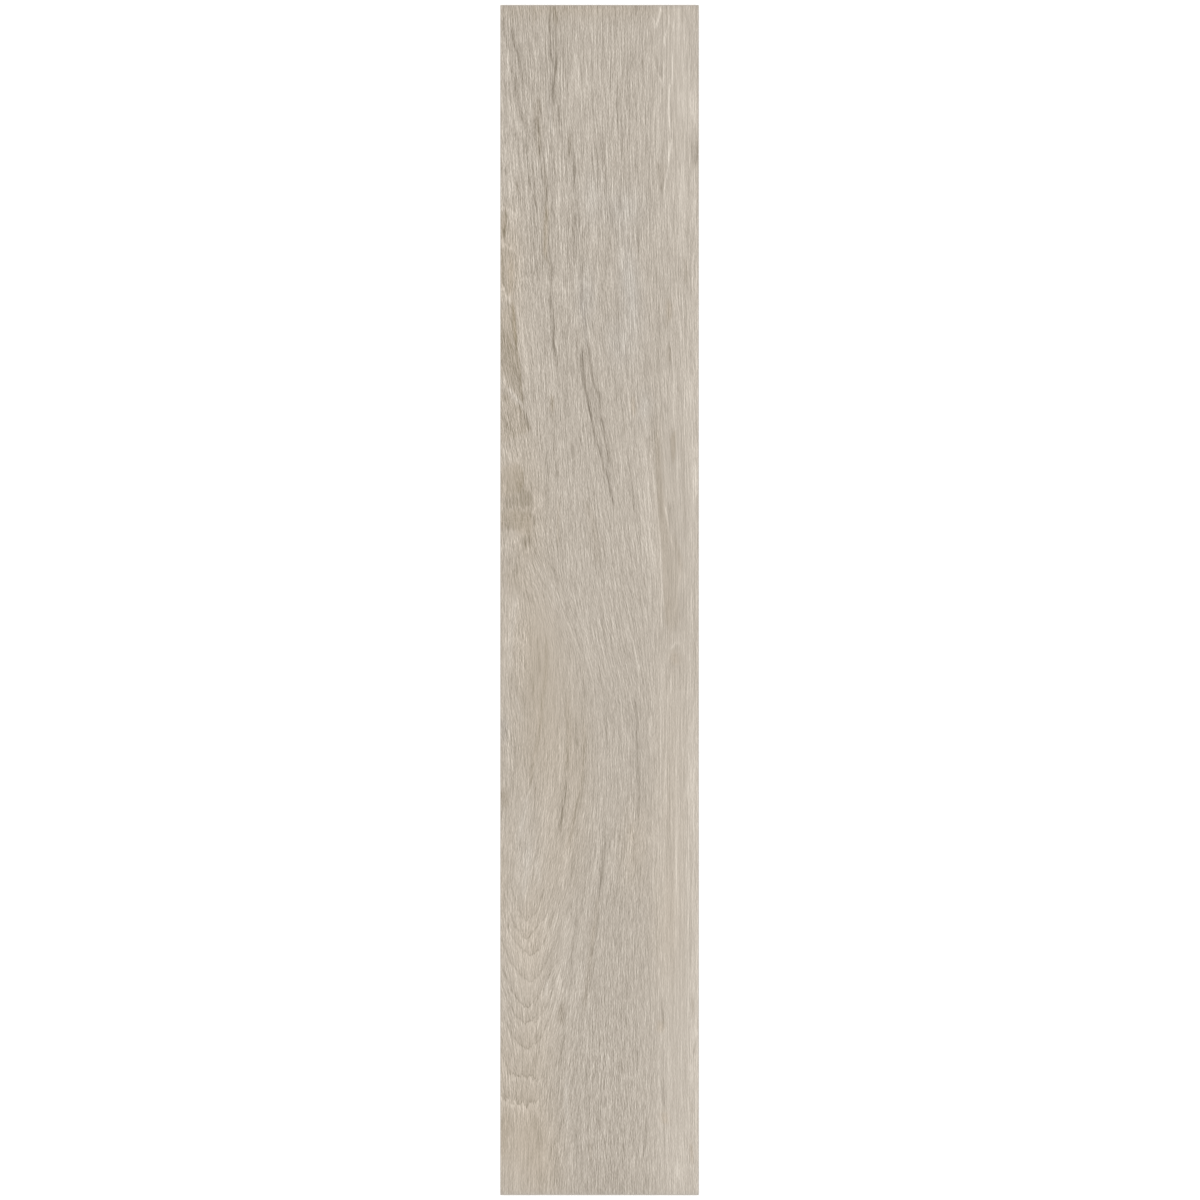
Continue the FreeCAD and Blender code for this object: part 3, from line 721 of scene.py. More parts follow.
# Where the fibres stand out more or less, and where they run longer:
# (across, down, reach across, reach along, change).
fibreContrast = [
    (20, 150, 40, 170, 0.18),
    (70, 250, 40, 160, 0.14),
    (110, 120, 60, 140, 0.10),
    (182, 400, 30, 400, -0.30),
    (180, 980, 30, 300, -0.52),
    (36, 680, 45, 90, -0.28),
    (90, 720, 50, 90, -0.15),
    (30, 860, 40, 60, -0.12),
    (28, 1165, 36, 45, -0.35),
    (178, 60, 24, 110, -0.42),
    (176, 300, 26, 90, 0.14),
    (75, 90, 24, 90, -0.1),
    (75, 900, 25, 90, -0.1),
    (25, 480, 25, 80, 0.1),
    (70, 500, 30, 80, 0.08),
    (12, 415, 18, 24, 0.4),
    (11, 478, 11, 13, -0.5),
    (18, 521, 13, 9, -0.4),
    (28, 498, 7, 9, -0.4),
    (20, 645, 9, 34, 0.5),
    (44, 655, 16, 50, -0.3),
    (15, 588, 10, 14, -0.4),
    (162, 480, 6, 55, -0.4),
    (173, 585, 10, 50, -0.2),
    (175, 446, 6, 20, -0.4),
    (185, 520, 18, 90, -0.2),
    (28, 985, 30, 80, -0.14),
    (8, 740, 10, 18, 0.5),
    (112, 1090, 44, 110, 0.22),
]
fibreRuns = [
    (90, 120, 120, 220, 0.75),
    (110, 620, 60, 200, 0.35),
    (184, 700, 24, 600, 0.7),
    (25, 1165, 36, 40, 0.6),
]

# Short dark pores scattered along the fibres.
poreScatter = {
    "seed": 31,
    "count": 4200,
    "length": (4.0, 18.0),   # mm
    "halfWidth": (0.4, 0.7),
    "depth": (0.25, 1.0),
    "deepest": 1.3,          # where pores meet
    "margin": 1.0,           # mm kept free at the long edges
}


def leanField(rows):
    downs = sorted(rows)
    table = np.array([np.interp(acrossLine, *zip(*rows[d])) for d in downs])
    return np.array([np.interp(downLine, downs, column) for column in table.T]).T


# Follows every fibre from the nearest start row, and gives its place across there.
def followFibres(lean, starts):
    lines = np.zeros_like(lean)
    nearest = np.abs(downLine[:, None] - np.array(starts)[None, :]).argmin(axis=1)

    def slide(row, last):
        source = acrossLine - lean[row] * (downLine[row] - downLine[last])
        inside = np.clip(source, acrossLine[0], acrossLine[-1])
        lines[row] = np.interp(inside, acrossLine, lines[last]) + source - inside

    for number, start in enumerate(starts):
        rows = np.flatnonzero(nearest == number)
        first = rows[np.abs(downLine[rows] - start).argmin()]
        lines[first] = acrossLine
        for row in range(first + 1, rows[-1] + 1):
            slide(row, row - 1)
        for row in range(first - 1, rows[0] - 1, -1):
            slide(row, row + 1)
    return lines


def smooth(share):
    t = np.clip(share, 0, 1)
    return t * t * (3 - 2 * t)


def paintPatches(patches, tone, warmth):
    for x, y, reachX, reachY, tilt, toneStep, *warmStep in patches:
        dx = (across - x - tilt * (down - y)) / reachX
        dy = (down - y) / reachY
        cover = np.exp(-dx * dx - dy * dy)
        tone += toneStep * cover
        warmth += sum(warmStep) * cover


def paintPanels(panels, tone, warmth):
    for corners, softness, toneStep, warmStep in panels:
        inside = np.zeros(across.shape, bool)
        border = np.full_like(across, 1e3)
        for (x1, y1), (x2, y2) in zip(corners, corners[1:] + corners[:1]):
            crossing = x1 + (down - y1) * ((x2 - x1) / ((y2 - y1) or 1e-9))
            inside ^= ((down < y1) != (down < y2)) & (across < crossing)
            share = (across - x1) * (x2 - x1) + (down - y1) * (y2 - y1)
            share = np.clip(share / ((x2 - x1) ** 2 + (y2 - y1) ** 2), 0, 1)
            apart = np.hypot(across - x1 - share * (x2 - x1), down - y1 - share * (y2 - y1))
            border = np.minimum(border, apart)
        cover = smooth(0.5 + np.where(inside, border, -border) / (2 * softness))
        tone += toneStep * cover
        warmth += warmStep * cover


def paintStreak(points, halfWidth, amounts, wander=None):
    xs, ys = zip(*points)
    fade = min(streakStyle["fade"], streakStyle["fadeShare"] * (ys[-1] - ys[0]))
    rows = np.flatnonzero((downLine > ys[0] - fade) & (downLine < ys[-1] + fade))
    line = np.interp(downLine[rows], ys, xs)
    if wander is not None:
        line = line + wander[rows]
    toEnd = np.minimum(downLine[rows] - ys[0], ys[-1] - downLine[rows])
    full = smooth(toEnd / fade + 0.5)[:, None]
    reach = halfWidth * (1 - streakStyle["taper"] * (1 - full))
    cover = full * np.exp(-((acrossLine[None, :] - line[:, None]) / reach) ** 2)
    for field, amount in amounts:
        field[rows] += amount * cover


def wanderLine(rng, reach, amount):
    kernel = np.hanning(2 * reach + 1)
    raw = rng.standard_normal(len(downLine))
    return amount * np.convolve(raw, kernel / np.sqrt((kernel ** 2).sum()), mode="same")


# Distance square to the nearest ring of a set, with that ring's raggedness, tones and sharpness.
def ringFields(rings, style):
    starts = {"Gap": style["far"], "Level": 0.0, "Torn": 0.0, "Below": 0.0, "Fine": 1.0}
    fields = {part: np.full_like(across, start) for part, start in starts.items()}
    for points, tornTone, belowTone, ragged in rings:
        xs, ys = zip(*points)
        columns = np.flatnonzero(acrossLine <= xs[-1])
        columns = columns[acrossLine[columns] >= xs[0] - 1]
        x = acrossLine[columns]
        ringDown = np.interp(x, xs, ys)
        window = np.ones(style["slopePoints"]) / style["slopePoints"]
        padded = np.pad(ringDown, style["slopePoints"] // 2, mode="edge")
        slope = np.gradient(np.convolve(padded, window, mode="valid"), x)
        cosine = 1 / np.sqrt(1 + slope ** 2)
        ends = np.clip((xs[-1] - x) / style["rightFade"], 0, 1) * np.sqrt(cosine)
        if tornTone < 0 or xs[0] > 0:
            ends = ends * np.clip((x - xs[0]) / style["leftFade"] + style["leftLeast"], 0, 1)
        square = (downLine[:, None] - ringDown[None, :]) * cosine[None, :]
        reach = ends[None, :] * np.clip((style["reach"] - np.abs(square)) / style["reachFade"], 0, 1)
        nearer = np.abs(square) < np.abs(fields["Gap"][:, columns])
        values = {"Gap": square, "Level": ragged * cosine[None, :], "Torn": tornTone * reach,
                  "Below": belowTone * reach, "Fine": style["darkFine" if tornTone < 0 else "lightFine"]}
        for part, value in values.items():
            fields[part][:, columns] = np.where(nearer, value, fields[part][:, columns])
    return fields


def sumPatches(patches, base):
    field = np.full_like(across, base)
    for x, y, reachX, reachY, change in patches:
        field += change * np.exp(-((across - x) / reachX) ** 2 - ((down - y) / reachY) ** 2)
    return field


lean = leanField(grainLean)
longLine = followFibres(lean, [faceLength / 2])
evenLine = followFibres(lean, range(0, faceLength + 1, turnPitch))
oddLine = followFibres(lean, range(turnPitch // 2, faceLength + 1, turnPitch))
fromEven = np.abs((down + turnPitch / 2) % turnPitch - turnPitch / 2)
oddPart = smooth((fromEven - turnPitch / 8) / (turnPitch / 4))
turnSize = np.hypot(oddPart, 1 - oddPart)
fromFaint = np.abs(down - stripeZone["faintAt"]) / stripeZone["faintAt"]
stripes = np.clip((across - stripeZone["start"]) / stripeZone["rise"], 0, 1)
stripes = stripes * np.clip(fromFaint, stripeZone["least"], 1)
boardTone = np.zeros_like(across)
warmth = np.zeros_like(across)
paintPatches(boardPatches + warmZones, boardTone, warmth)
paintPanels(boardPanels, boardTone, warmth)

rng = np.random.default_rng(poreScatter["seed"])
darkTone = np.zeros_like(across)
lightTone = np.zeros_like(across)
for field, streaks, gain in [(darkTone, darkStreaks, streakStyle["dark"]),
                             (lightTone, lightStreaks, streakStyle["light"])]:
    for points, halfWidth, toneStep, *warmStep in streaks:
        amounts = [(field, gain * toneStep), (warmth, sum(warmStep))]
        wander = wanderLine(rng, streakStyle["wanderRows"], streakStyle["wander"])
        paintStreak(points, halfWidth * streakStyle["spread"], amounts, wander)

contrast = sumPatches(fibreContrast, 1.0)
fibreRun = np.clip(sumPatches(fibreRuns, 0.0), 0, 1)


def scatterPores(plan):
    pores = np.zeros_like(across)
    for _ in range(plan["count"]):
        x = rng.uniform(plan["margin"], faceWidth - plan["margin"])
        y = rng.uniform(0, faceLength)
        row = np.searchsorted(downLine, y).clip(0, len(downLine) - 1)
        column = np.searchsorted(acrossLine, x).clip(0, len(acrossLine) - 1)
        length = rng.uniform(*plan["length"])
        halfWidth = rng.uniform(*plan["halfWidth"])
        depth = rng.uniform(*plan["depth"]) * contrast[row, column]
        paintStreak([(x, y), (x + lean[row, column] * length, y + length)], halfWidth, [(pores, depth)])
    return np.clip(pores, 0, plan["deepest"])


pores = scatterPores(poreScatter)
# the rings take turns in two sets, because in one set close rings would cut each other off
ringSets = {"inner": ringFields(growthRings[0::2], ringStyle),
            "outer": ringFields(growthRings[1::2], ringStyle)}
print("grain drawn,", len(darkStreaks) + len(lightStreaks), "streaks,", len(growthRings), "rings,",
      poreScatter["count"], "pores")


def storeField(name, values):
    full = np.zeros(len(plank.data.vertices))
    full[facePoints] = values
    plank.data.attributes.new(name, "FLOAT", "POINT").data.foreach_set("value", full)


for name, values in [("longLine", longLine), ("evenLine", evenLine), ("oddLine", oddLine),
                     ("evenTurn", (1 - oddPart) / turnSize), ("oddTurn", oddPart / turnSize),
                     ("boardTone", boardTone), ("warmth", warmth), ("darkTone", darkTone),
                     ("lightTone", lightTone), ("contrast", contrast), ("fibreRun", fibreRun),
                     ("stripes", stripes), ("pores", pores)]:
    storeField(name, values)
for name, fields in ringSets.items():
    for part, values in fields.items():
        storeField(name + part, values)

# Pressed relief: dark streaks, rings and pores are shallow grooves, fading out at the arris.
edgeGap = np.minimum(np.minimum(across, faceWidth - across), np.minimum(down, faceLength - down))
edgeFade = np.clip((edgeGap - plankShape["plainEdge"]) / plankShape["edgeFade"], 0, 1)
groove = plankShape["poreGroove"] * pores
groove += plankShape["streakGroove"] * np.clip(-darkTone / plankShape["fullStreak"], 0, 1)
for fields in ringSets.values():
    ringShare = np.exp(-(fields["Gap"] / plankShape["ringSpread"]) ** 2)
    ringShare *= np.clip(-fields["Torn"] / plankShape["fullRing"], 0, 1)
    groove += plankShape["ringGroove"] * ringShare
meshPoints[facePoints, 2] -= groove * edgeFade
plank.data.vertices.foreach_set("co", meshPoints.ravel())
plank.data.update()


# Map for baked looks: the face takes most of its width, then the back, the long walls and the ends.
bakeMap = {
    "face": (0.004, 0.700),
    "back": (0.715, 0.915),
    "walls": (0.925, 0.945),   # left and right, both as long as the map is high
    "ends": (0.05, 0.30),      # near and far, one above the other
    "endColumn": 0.970,
    "endLength": 0.2,
    "margin": 0.004,           # above and below
    "wallHeight": 0.013,
    "arrisShare": 0.3,         # of a wall's height
    "edgeBand": 0.001,         # metres beside the edges in which walls lie
    "steep": 0.8,              # a wall's normal rises less than this
    "keyPitch": (0.032, 0.099),
    "keyHeights": (0.0001, 0.001),   # between which a point lies on a key's floor
    "keyPull": (0.86, 0.95),   # key floors are drawn smaller, which leaves room for the key walls
}


def addBakeMap(plank, plan):
    mesh = plank.data
    cornerPoint = readAll(mesh.loops, "vertex_index", int)
    cornerCount = readAll(mesh.polygons, "loop_total", int)
    slot = np.repeat(readAll(mesh.polygons, "material_index", int), cornerCount)
    normal = np.repeat(readAll(mesh.polygons, "normal", width=3), cornerCount, axis=0)
    x, y, z = meshPoints[cornerPoint].T
    inKey = (z > plan["keyHeights"][0]) & (z < plan["keyHeights"][1])
    atSide = np.abs(x) > tileHigh.x - plan["edgeBand"]
    atEnd = np.abs(y) > tileHigh.y - plan["edgeBand"]
    isFace = slot == 0
    isWall = ~isFace & (atSide | atEnd) & (np.abs(normal[:, 2]) < plan["steep"])
    isEnd = isWall & (np.abs(normal[:, 1]) > np.abs(normal[:, 0]))
    keyX = (np.floor(x / plan["keyPitch"][0]) + 0.5) * plan["keyPitch"][0]
    keyY = (np.floor(y / plan["keyPitch"][1]) + 0.5) * plan["keyPitch"][1]
    x = np.where(inKey & ~isWall, keyX + (x - keyX) * plan["keyPull"][0], x)
    y = np.where(inKey & ~isWall, keyY + (y - keyY) * plan["keyPull"][1], y)
    shareX = (x - tileLow.x) / (tileHigh.x - tileLow.x)
    shareY = (y - tileLow.y) / (tileHigh.y - tileLow.y)
    wallTop = tileHigh.z - plankShape["arris"]
    height = np.interp(z, (0, wallTop, tileHigh.z), (0, 1 - plan["arrisShare"], 1)) * plan["wallHeight"]
    u = np.interp(shareX, (0, 1), plan["back"])
    u = np.where(isFace, np.interp(shareX, (0, 1), plan["face"]), u)
    u = np.where(isWall, np.where(normal[:, 0] < 0, *plan["walls"]) + height, u)
    u = np.where(isEnd, plan["endColumn"] + height, u)
    v = plan["margin"] + (1 - 2 * plan["margin"]) * shareY
    v = np.where(isEnd, np.where(normal[:, 1] < 0, *plan["ends"]) + plan["endLength"] * shareX, v)
    layer = mesh.uv_layers.new(name="OFBake", do_init=False)
    layer.data.foreach_set("uv", np.stack([u, v], 1).ravel())


addBakeMap(plank, bakeMap)


# Shader nodes.
def addNode(tree, kind, inputs=None, **settings):
    node = tree.nodes.new(kind)
    for name, value in settings.items():
        setattr(node, name, value)
    for key, value in (inputs or {}).items():
        if isinstance(value, bpy.types.NodeSocket):
            tree.links.new(value, node.inputs[key])
        else:
            node.inputs[key].default_value = value
    return node


def calc(tree, operation, *values):
    return addNode(tree, "ShaderNodeMath", dict(enumerate(values)), operation=operation).outputs[0]


def addUp(tree, total, parts):
    for value, amount in parts:
        total = calc(tree, "MULTIPLY_ADD", value, amount, total)
    return total


def readField(tree, name):
    return addNode(tree, "ShaderNodeAttribute", attribute_name=name).outputs["Fac"]


def fitRange(tree, value, low, high, toLow, toHigh):
    ends = {"Value": value, "From Min": low, "From Max": high, "To Min": toLow, "To Max": toHigh}
    return addNode(tree, "ShaderNodeMapRange", ends, interpolation_type="SMOOTHSTEP").outputs[0]


# From the values on a display to linear light.
def fromDisplay(colour):
    return [c / 12.92 if c <= 0.04045 else ((c + 0.055) / 1.055) ** 2.4 for c in colour] + [1.0]


def addRamp(tree, factor, stops):
    ramp = addNode(tree, "ShaderNodeValToRGB", {"Fac": factor})
    while len(ramp.color_ramp.elements) < len(stops):
        ramp.color_ramp.elements.new(0.5)
    for element, (place, colour) in zip(ramp.color_ramp.elements, stops):
        element.position = place
        element.color = fromDisplay(colour)
    return ramp.outputs["Color"]


def newMaterial(name):
    material = bpy.data.materials.new(name)
    material.use_nodes = True
    return material, material.node_tree.nodes["Principled BSDF"]


def dressShader(tree, shader, look, colour, rough, height):
    bump = {"Strength": look["bumpStrength"], "Distance": look["bumpDistance"], "Height": height}
    tree.links.new(colour, shader.inputs["Base Color"])
    tree.links.new(rough, shader.inputs["Roughness"])
    tree.links.new(addNode(tree, "ShaderNodeBump", bump).outputs[0], shader.inputs["Normal"])
    shader.inputs["Specular IOR Level"].default_value = look["gloss"]


# Past a share of 1 the mix goes on beyond the second colour.
def mixColours(tree, share, first, second):
    given = {"Factor": share, 6: first, 7: second}
    return addNode(tree, "ShaderNodeMix", given, data_type="RGBA", clamp_factor=False).outputs[2]


# How fibres are set apart from each other.
fibreSteps = {
    "seed": 17.31,         # odd steps from seed to seed and from strand to strand
    "oddSeed": 0.5,
    "strandSide": 431.7,
    "strandAlong": 57.3,
    "twinSide": 1.1,       # mm to a strand's twin, fainter and of the other tone, as a sharpened print has
    "twinTone": -0.3,
}


# Noise drawn out along a set of fibre lines, centred on 0. Strands are straight, with sharp sides.
def makeFibreGroup(name, straight, steps):
    group = bpy.data.node_groups.new(name, "ShaderNodeTree")
    for label, default in [("Line", 0.0), ("Width", 1.0), ("Length", 10.0), ("Seed", 0.0)]:
        socket = group.interface.new_socket(label, in_out="INPUT", socket_type="NodeSocketFloat")
        socket.default_value = default
    group.interface.new_socket("Value", in_out="OUTPUT", socket_type="NodeSocketFloat")
    given = group.nodes.new("NodeGroupInput").outputs
    result = group.nodes.new("NodeGroupOutput")
    spot = group.nodes.new("ShaderNodeTexCoord").outputs["Object"]
    along = addNode(group, "ShaderNodeSeparateXYZ", {0: spot}).outputs["Y"]
    along = calc(group, "MULTIPLY", along, 1000.0)   # to mm
    along = calc(group, "DIVIDE", along, given["Length"])
    side = calc(group, "DIVIDE", given["Line"], given["Width"])
    side = calc(group, "MULTIPLY_ADD", given["Seed"], steps["seed"], side)
    if straight:
        cell = addNode(group, "ShaderNodeTexVoronoi", {"W": side, "Scale": 1.0}, voronoi_dimensions="1D")
        chance = addNode(group, "ShaderNodeSeparateColor", {0: cell.outputs["Color"]}).outputs
        side = calc(group, "MULTIPLY", chance[0], steps["strandSide"])
        along = calc(group, "MULTIPLY_ADD", chance[1], steps["strandAlong"], along)
    # turned by 45 degrees, so that no row of the noise lies straight across the plank
    slant = 0.7071
    turnedX = calc(group, "MULTIPLY", calc(group, "SUBTRACT", side, along), slant)
    turnedY = calc(group, "MULTIPLY", calc(group, "ADD", side, along), slant)
    spot = addNode(group, "ShaderNodeCombineXYZ", {"X": turnedX, "Y": turnedY})
    plain = {"Vector": spot.outputs[0], "Scale": 1.0, "Detail": 0.0}
    noise = addNode(group, "ShaderNodeTexNoise", plain, noise_dimensions="2D")
    group.links.new(calc(group, "SUBTRACT", noise.outputs[0], 0.5), result.inputs["Value"])
    return group


softGroup = makeFibreGroup("softFibres", False, fibreSteps)
strandGroup = makeFibreGroup("straightStrands", True, fibreSteps)


def fibres(tree, group, line, width, length, seed):
    given = {"Line": line, "Width": width, "Length": length, "Seed": seed}
    return addNode(tree, "ShaderNodeGroup", given, node_tree=group).outputs["Value"]


def longFibres(tree, width, length, seed):
    return fibres(tree, softGroup, readField(tree, "longLine"), width, length, seed)


def fineFibres(tree, width, length, seed):
    even = fibres(tree, softGroup, readField(tree, "evenLine"), width, length, seed)
    odd = fibres(tree, softGroup, readField(tree, "oddLine"), width, length, seed + fibreSteps["oddSeed"])
    even = calc(tree, "MULTIPLY", even, readField(tree, "evenTurn"))
    return calc(tree, "MULTIPLY_ADD", odd, readField(tree, "oddTurn"), even)


def strands(tree, width, length, seed):
    sets = []
    for name, shift in (("even", 0.0), ("odd", fibreSteps["oddSeed"])):
        place = readField(tree, name + "Line")
        strand = fibres(tree, strandGroup, place, width, length, seed + shift)
        place = calc(tree, "ADD", place, fibreSteps["twinSide"])
        twin = fibres(tree, strandGroup, place, width, length, seed + shift)
        both = calc(tree, "MULTIPLY_ADD", twin, fibreSteps["twinTone"], strand)
        sets.append(calc(tree, "MULTIPLY", both, readField(tree, name + "Turn")))
    return calc(tree, "ADD", *sets)


# Sizes of the fibres, strands and teeth of torn rings: (width in mm, length in mm, seed).
fibreSizes = {
    "long": (0.65, 30.0, 3.0),
    "short": (0.6, 10.0, 5.0),
    "tear": (0.7, 18.0, 7.0),
    "fleck": (0.6, 3.0, 9.0),
    "thread": (2.0, 60.0, 12.0),
    "band": (3.6, 150.0, 14.0),
    "wide": (8.0, 300.0, 16.0),
    "stripe": (1.0, 300.0, 18.0),
    "tooth": (1.9, 400.0, 21.0),
    "fineTooth": (1.1, 300.0, 23.0),
}

# Printed oak face: tone in display steps, 0 to 1, then two inks by warmth.
printInk = {
    "middle": 0.7125,
    "long": 0.325,     # fibre contrast: long fibres, short fibres and flecks
    "short": 0.22,
    "fleck": 0.15,
    "thread": 0.02,    # coarser threads and bands
    "band": 0.03,
    "wide": 0.015,
    "stripe": 0.11,    # straight lines of the right edge
    "pore": 0.02,
    "longLeast": 0.4,  # share of the long fibres where fibres run short
    "shortLoss": 0.4,  # share of the short fibres that goes where fibres run long
    "tear": (1.65, 0.35),      # times the dark streaks' tone, from strand to strand
    "tearNoise": 0.2,
    "toothReach": 11.0,        # mm that the teeth of torn rings reach up and down
    "fineToothReach": 6.0,
    "underStart": (-0.5, 1.0),   # mm from a ring over which the tone below it sets in
    "underAbove": -0.6,          # its share above the ring
    "underEnd": (1.0, 12.0),     # mm from a ring over which it fades
    "roughness": 0.62,
    "fibreRoughness": 0.5,
    "poreRoughness": 0.10,
    "poreBump": -0.1,
    "bumpStrength": 0.5,
    "bumpDistance": 0.0003,
    "gloss": 0.35,
    "warmBase": 0.22,          # share of the brown ink, and what a step of warmth adds to it
    "warmStep": 0.19,
    "grey": [(0.35, (0.388, 0.346, 0.295)), (0.55, (0.587, 0.546, 0.495)), (0.75, (0.783, 0.746, 0.697)),
             (0.95, (0.980, 0.947, 0.898))],
    "brown": [(0.35, (0.390, 0.345, 0.267)), (0.55, (0.590, 0.545, 0.467)), (0.75, (0.795, 0.742, 0.675)),
              (0.95, (0.995, 0.942, 0.875))],
}


def makePrint(ink, sizes):
    material, shader = newMaterial("printed_oak_glaze")
    tree = material.node_tree
    step = 1 / 255   # the lists give their tones in these
    pores = readField(tree, "pores")
    run = readField(tree, "fibreRun")
    longShare = calc(tree, "MULTIPLY_ADD", run, 1 - ink["longLeast"], ink["longLeast"])
    shortShare = calc(tree, "MULTIPLY_ADD", run, -ink["shortLoss"], 1.0)
    fine = addUp(tree, 0.0, [
        (calc(tree, "MULTIPLY", strands(tree, *sizes["long"]), longShare), ink["long"]),
        (calc(tree, "MULTIPLY", strands(tree, *sizes["short"]), shortShare), ink["short"]),
        (strands(tree, *sizes["fleck"]), ink["fleck"]),
        (fineFibres(tree, *sizes["thread"]), ink["thread"]),
    ])
    dark = calc(tree, "MULTIPLY", readField(tree, "darkTone"), step)
    tear = fitRange(tree, strands(tree, *sizes["tear"]), -ink["tearNoise"], ink["tearNoise"], *ink["tear"])
    stripe = fibres(tree, strandGroup, readField(tree, "longLine"), *sizes["stripe"])
    tone = addUp(tree, ink["middle"], [
        (readField(tree, "boardTone"), step),
        (dark, tear),
        (readField(tree, "lightTone"), step),
        (fine, readField(tree, "contrast")),
        (longFibres(tree, *sizes["band"]), ink["band"]),
        (longFibres(tree, *sizes["wide"]), ink["wide"]),
        (calc(tree, "MULTIPLY", stripe, readField(tree, "stripes")), ink["stripe"]),
        (pores, -ink["pore"]),
    ])
    # torn rings: each fibre breaks off a little higher or lower than the next
    stagger = addUp(tree, 0.0, [
        (strands(tree, *sizes["tooth"]), ink["toothReach"]),
        (fineFibres(tree, *sizes["fineTooth"]), ink["fineToothReach"]),
    ])
    for name in ringSets:
        gap = addUp(tree, readField(tree, name + "Gap"), [(stagger, readField(tree, name + "Level"))])
        sharp = calc(tree, "MULTIPLY", readField(tree, name + "Fine"), calc(tree, "MULTIPLY", gap, gap))
        line = calc(tree, "EXPONENT", calc(tree, "MULTIPLY", sharp, -1.0))
        away = fitRange(tree, calc(tree, "ABSOLUTE", gap), *ink["underEnd"], 1.0, 0.0)
        under = fitRange(tree, gap, *ink["underStart"], ink["underAbove"], 1.0)
        under = calc(tree, "MULTIPLY", under, away)
        torn = calc(tree, "MULTIPLY", readField(tree, name + "Torn"), step)
        below = calc(tree, "MULTIPLY", readField(tree, name + "Below"), step)
        tone = addUp(tree, tone, [(torn, line), (below, under)])
    warmShare = calc(tree, "MULTIPLY_ADD", readField(tree, "warmth"), ink["warmStep"], ink["warmBase"])
    grey = addRamp(tree, tone, ink["grey"])
    brown = addRamp(tree, tone, ink["brown"])
    colour = mixColours(tree, warmShare, grey, brown)
    rough = addUp(tree, ink["roughness"], [(fine, ink["fibreRoughness"]), (pores, ink["poreRoughness"])])
    dressShader(tree, shader, ink, colour, rough, addUp(tree, fine, [(pores, ink["poreBump"])]))
    return material


# Porcelain body, seen on the ground edges and the back.
biscuitClay = {
    "shades": [(0.25, (0.705, 0.660, 0.605)), (0.75, (0.775, 0.735, 0.685))],
    "powder": (0.830, 0.805, 0.770),   # kiln powder left on the ribs of the back
    "powderHeight": 0.0004,
    "powderClouds": (0.38, 0.62),      # values of the cloud between which the powder grows
    "powderShare": (0.15, 0.85),
    "speckScale": 900.0,
    "cloudScale": 14.0,
    "groundScale": (30.0, 30.0, 2600.0),   # grinding marks, drawn out along the edges
    "mottle": (0.6, 0.5, 0.3),         # of speck, cloud and grinding marks
    "mottleShift": 0.2,
    "roughness": 0.68,
    "speckRoughness": 0.2,
    "bumpStrength": 0.25,
    "bumpDistance": 0.0001,
    "gloss": 0.3,
}


def grains(tree, place, scale, detail):
    given = {"Vector": place, "Scale": scale, "Detail": detail}
    return addNode(tree, "ShaderNodeTexNoise", given).outputs[0]


def makeBiscuit(clay):
    material, shader = newMaterial("porcelain_biscuit")
    tree = material.node_tree
    spot = tree.nodes.new("ShaderNodeTexCoord").outputs["Object"]
    drawnOut = addNode(tree, "ShaderNodeMapping", {"Vector": spot, "Scale": clay["groundScale"]})
    speck = grains(tree, spot, clay["speckScale"], 2.0)
    cloud = grains(tree, spot, clay["cloudScale"], 3.0)
    ground = grains(tree, drawnOut.outputs[0], 1.0, 3.0)
    mottle = addUp(tree, -clay["mottleShift"], zip((speck, cloud, ground), clay["mottle"]))
    clayColour = addRamp(tree, mottle, clay["shades"])
    height = addNode(tree, "ShaderNodeSeparateXYZ", {0: spot}).outputs["Z"]
    rib = fitRange(tree, height, 0.0, clay["powderHeight"], 1.0, 0.0)
    dusty = fitRange(tree, cloud, *clay["powderClouds"], *clay["powderShare"])
    dusty = calc(tree, "MULTIPLY", rib, dusty)
    colour = mixColours(tree, dusty, clayColour, fromDisplay(clay["powder"]))
    rough = calc(tree, "MULTIPLY_ADD", speck, clay["speckRoughness"], clay["roughness"])
    dressShader(tree, shader, clay, colour, rough, calc(tree, "ADD", speck, ground))
    return material


plank.data.materials.append(makePrint(printInk, fibreSizes))
plank.data.materials.append(makeBiscuit(biscuitClay))
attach(plank, "root")
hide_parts("plank_tile")
print("materials made")


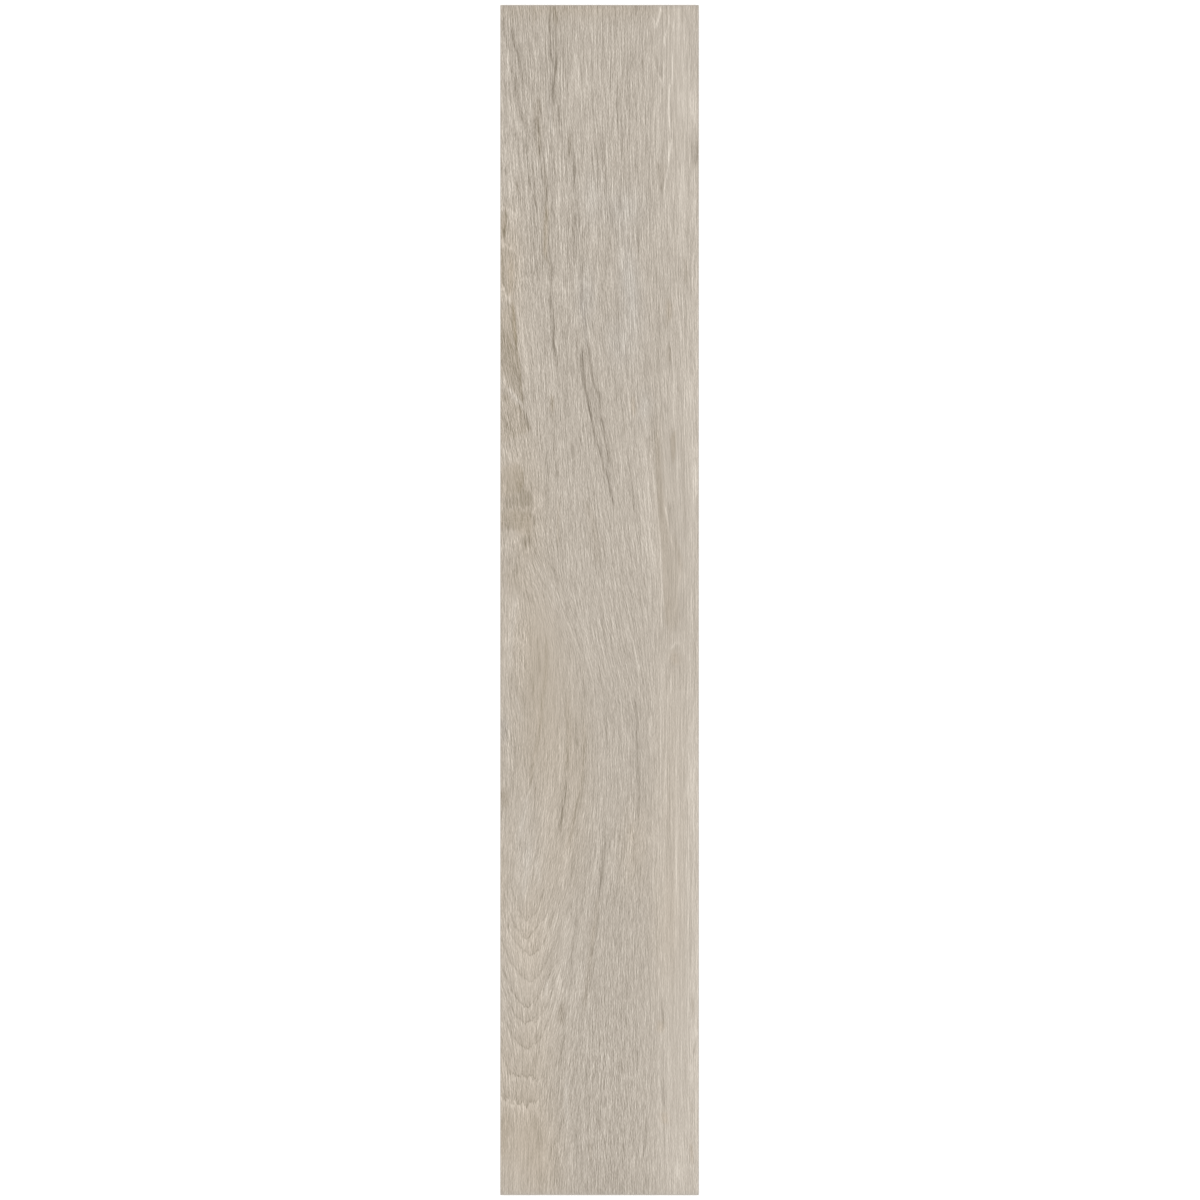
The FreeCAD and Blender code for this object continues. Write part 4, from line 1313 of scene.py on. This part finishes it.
# Floor, light and camera. The photo looks straight down, with the plank's far end at the top.
studio = {
    "floorColour": 0.93,
    "floorGlow": 0.30,
    "floorHalf": 6.0,
    "floorDrop": 0.0002,     # keeps the floor clear of the back
    "floorRoughness": 0.9,
    "dome": 0.40,
    "overheadPower": 130.0,
    "overheadHeight": 5.0,
    "overheadSize": 1.6,
    "sidePower": 8.0,
    "sideSize": 1.5,
    "sidePlace": (-2.2, 1.0, 2.2),
    "sensor": 36.0,          # mm
    "sight": 100.0,          # how far the camera sees
    "cameraHeight": 6.0,
    "photoWidth": 1.21008,   # metres that the photo spans at the face
    "photoShift": 0.0005,    # the plank sits this far left of the photo's middle
}


def addFloor(plan):
    bm = bmesh.new()
    bmesh.ops.create_grid(bm, x_segments=1, y_segments=1, size=plan["floorHalf"])
    floor = addMesh("studio_floor", bm)
    floor.location.z = -plan["floorDrop"]
    material, shader = newMaterial("studio_floor")
    shader.inputs["Base Color"].default_value = (plan["floorColour"],) * 3 + (1,)
    shader.inputs["Roughness"].default_value = plan["floorRoughness"]
    shader.inputs["Specular IOR Level"].default_value = 0.0
    shader.inputs["Emission Color"].default_value = (1, 1, 1, 1)
    shader.inputs["Emission Strength"].default_value = plan["floorGlow"]
    floor.data.materials.append(material)


def addLamp(name, power, size, place):
    lamp = bpy.data.lights.new(name, "AREA")
    lamp.energy = power
    lamp.size = size
    holder = addObject(name, lamp)
    holder.location = place
    holder.rotation_euler = (-holder.location).to_track_quat("-Z", "Y").to_euler()


def addLights(plan):
    world = bpy.data.worlds.new("studio_dome")
    world.use_nodes = True
    background = world.node_tree.nodes["Background"]
    background.inputs["Color"].default_value = (1, 1, 1, 1)
    background.inputs["Strength"].default_value = plan["dome"]
    bpy.context.scene.world = world
    overhead = (0.0, 0.0, plan["overheadHeight"])
    addLamp("overhead_soft", plan["overheadPower"], plan["overheadSize"], overhead)
    addLamp("side_soft", plan["sidePower"], plan["sideSize"], plan["sidePlace"])


def addCamera(plan):
    lens = bpy.data.cameras.new("photo_camera")
    lens.sensor_width = plan["sensor"]
    lens.lens = plan["sensor"] * (plan["cameraHeight"] - tileHigh.z) / plan["photoWidth"]
    lens.clip_end = plan["sight"]
    camera = addObject("photo_camera", lens)
    camera.location = (plan["photoShift"], 0.0, plan["cameraHeight"])
    bpy.context.scene.camera = camera


addFloor(studio)
addLights(studio)
addCamera(studio)
bpy.context.scene.view_settings.view_transform = "Standard"
print("studio set")
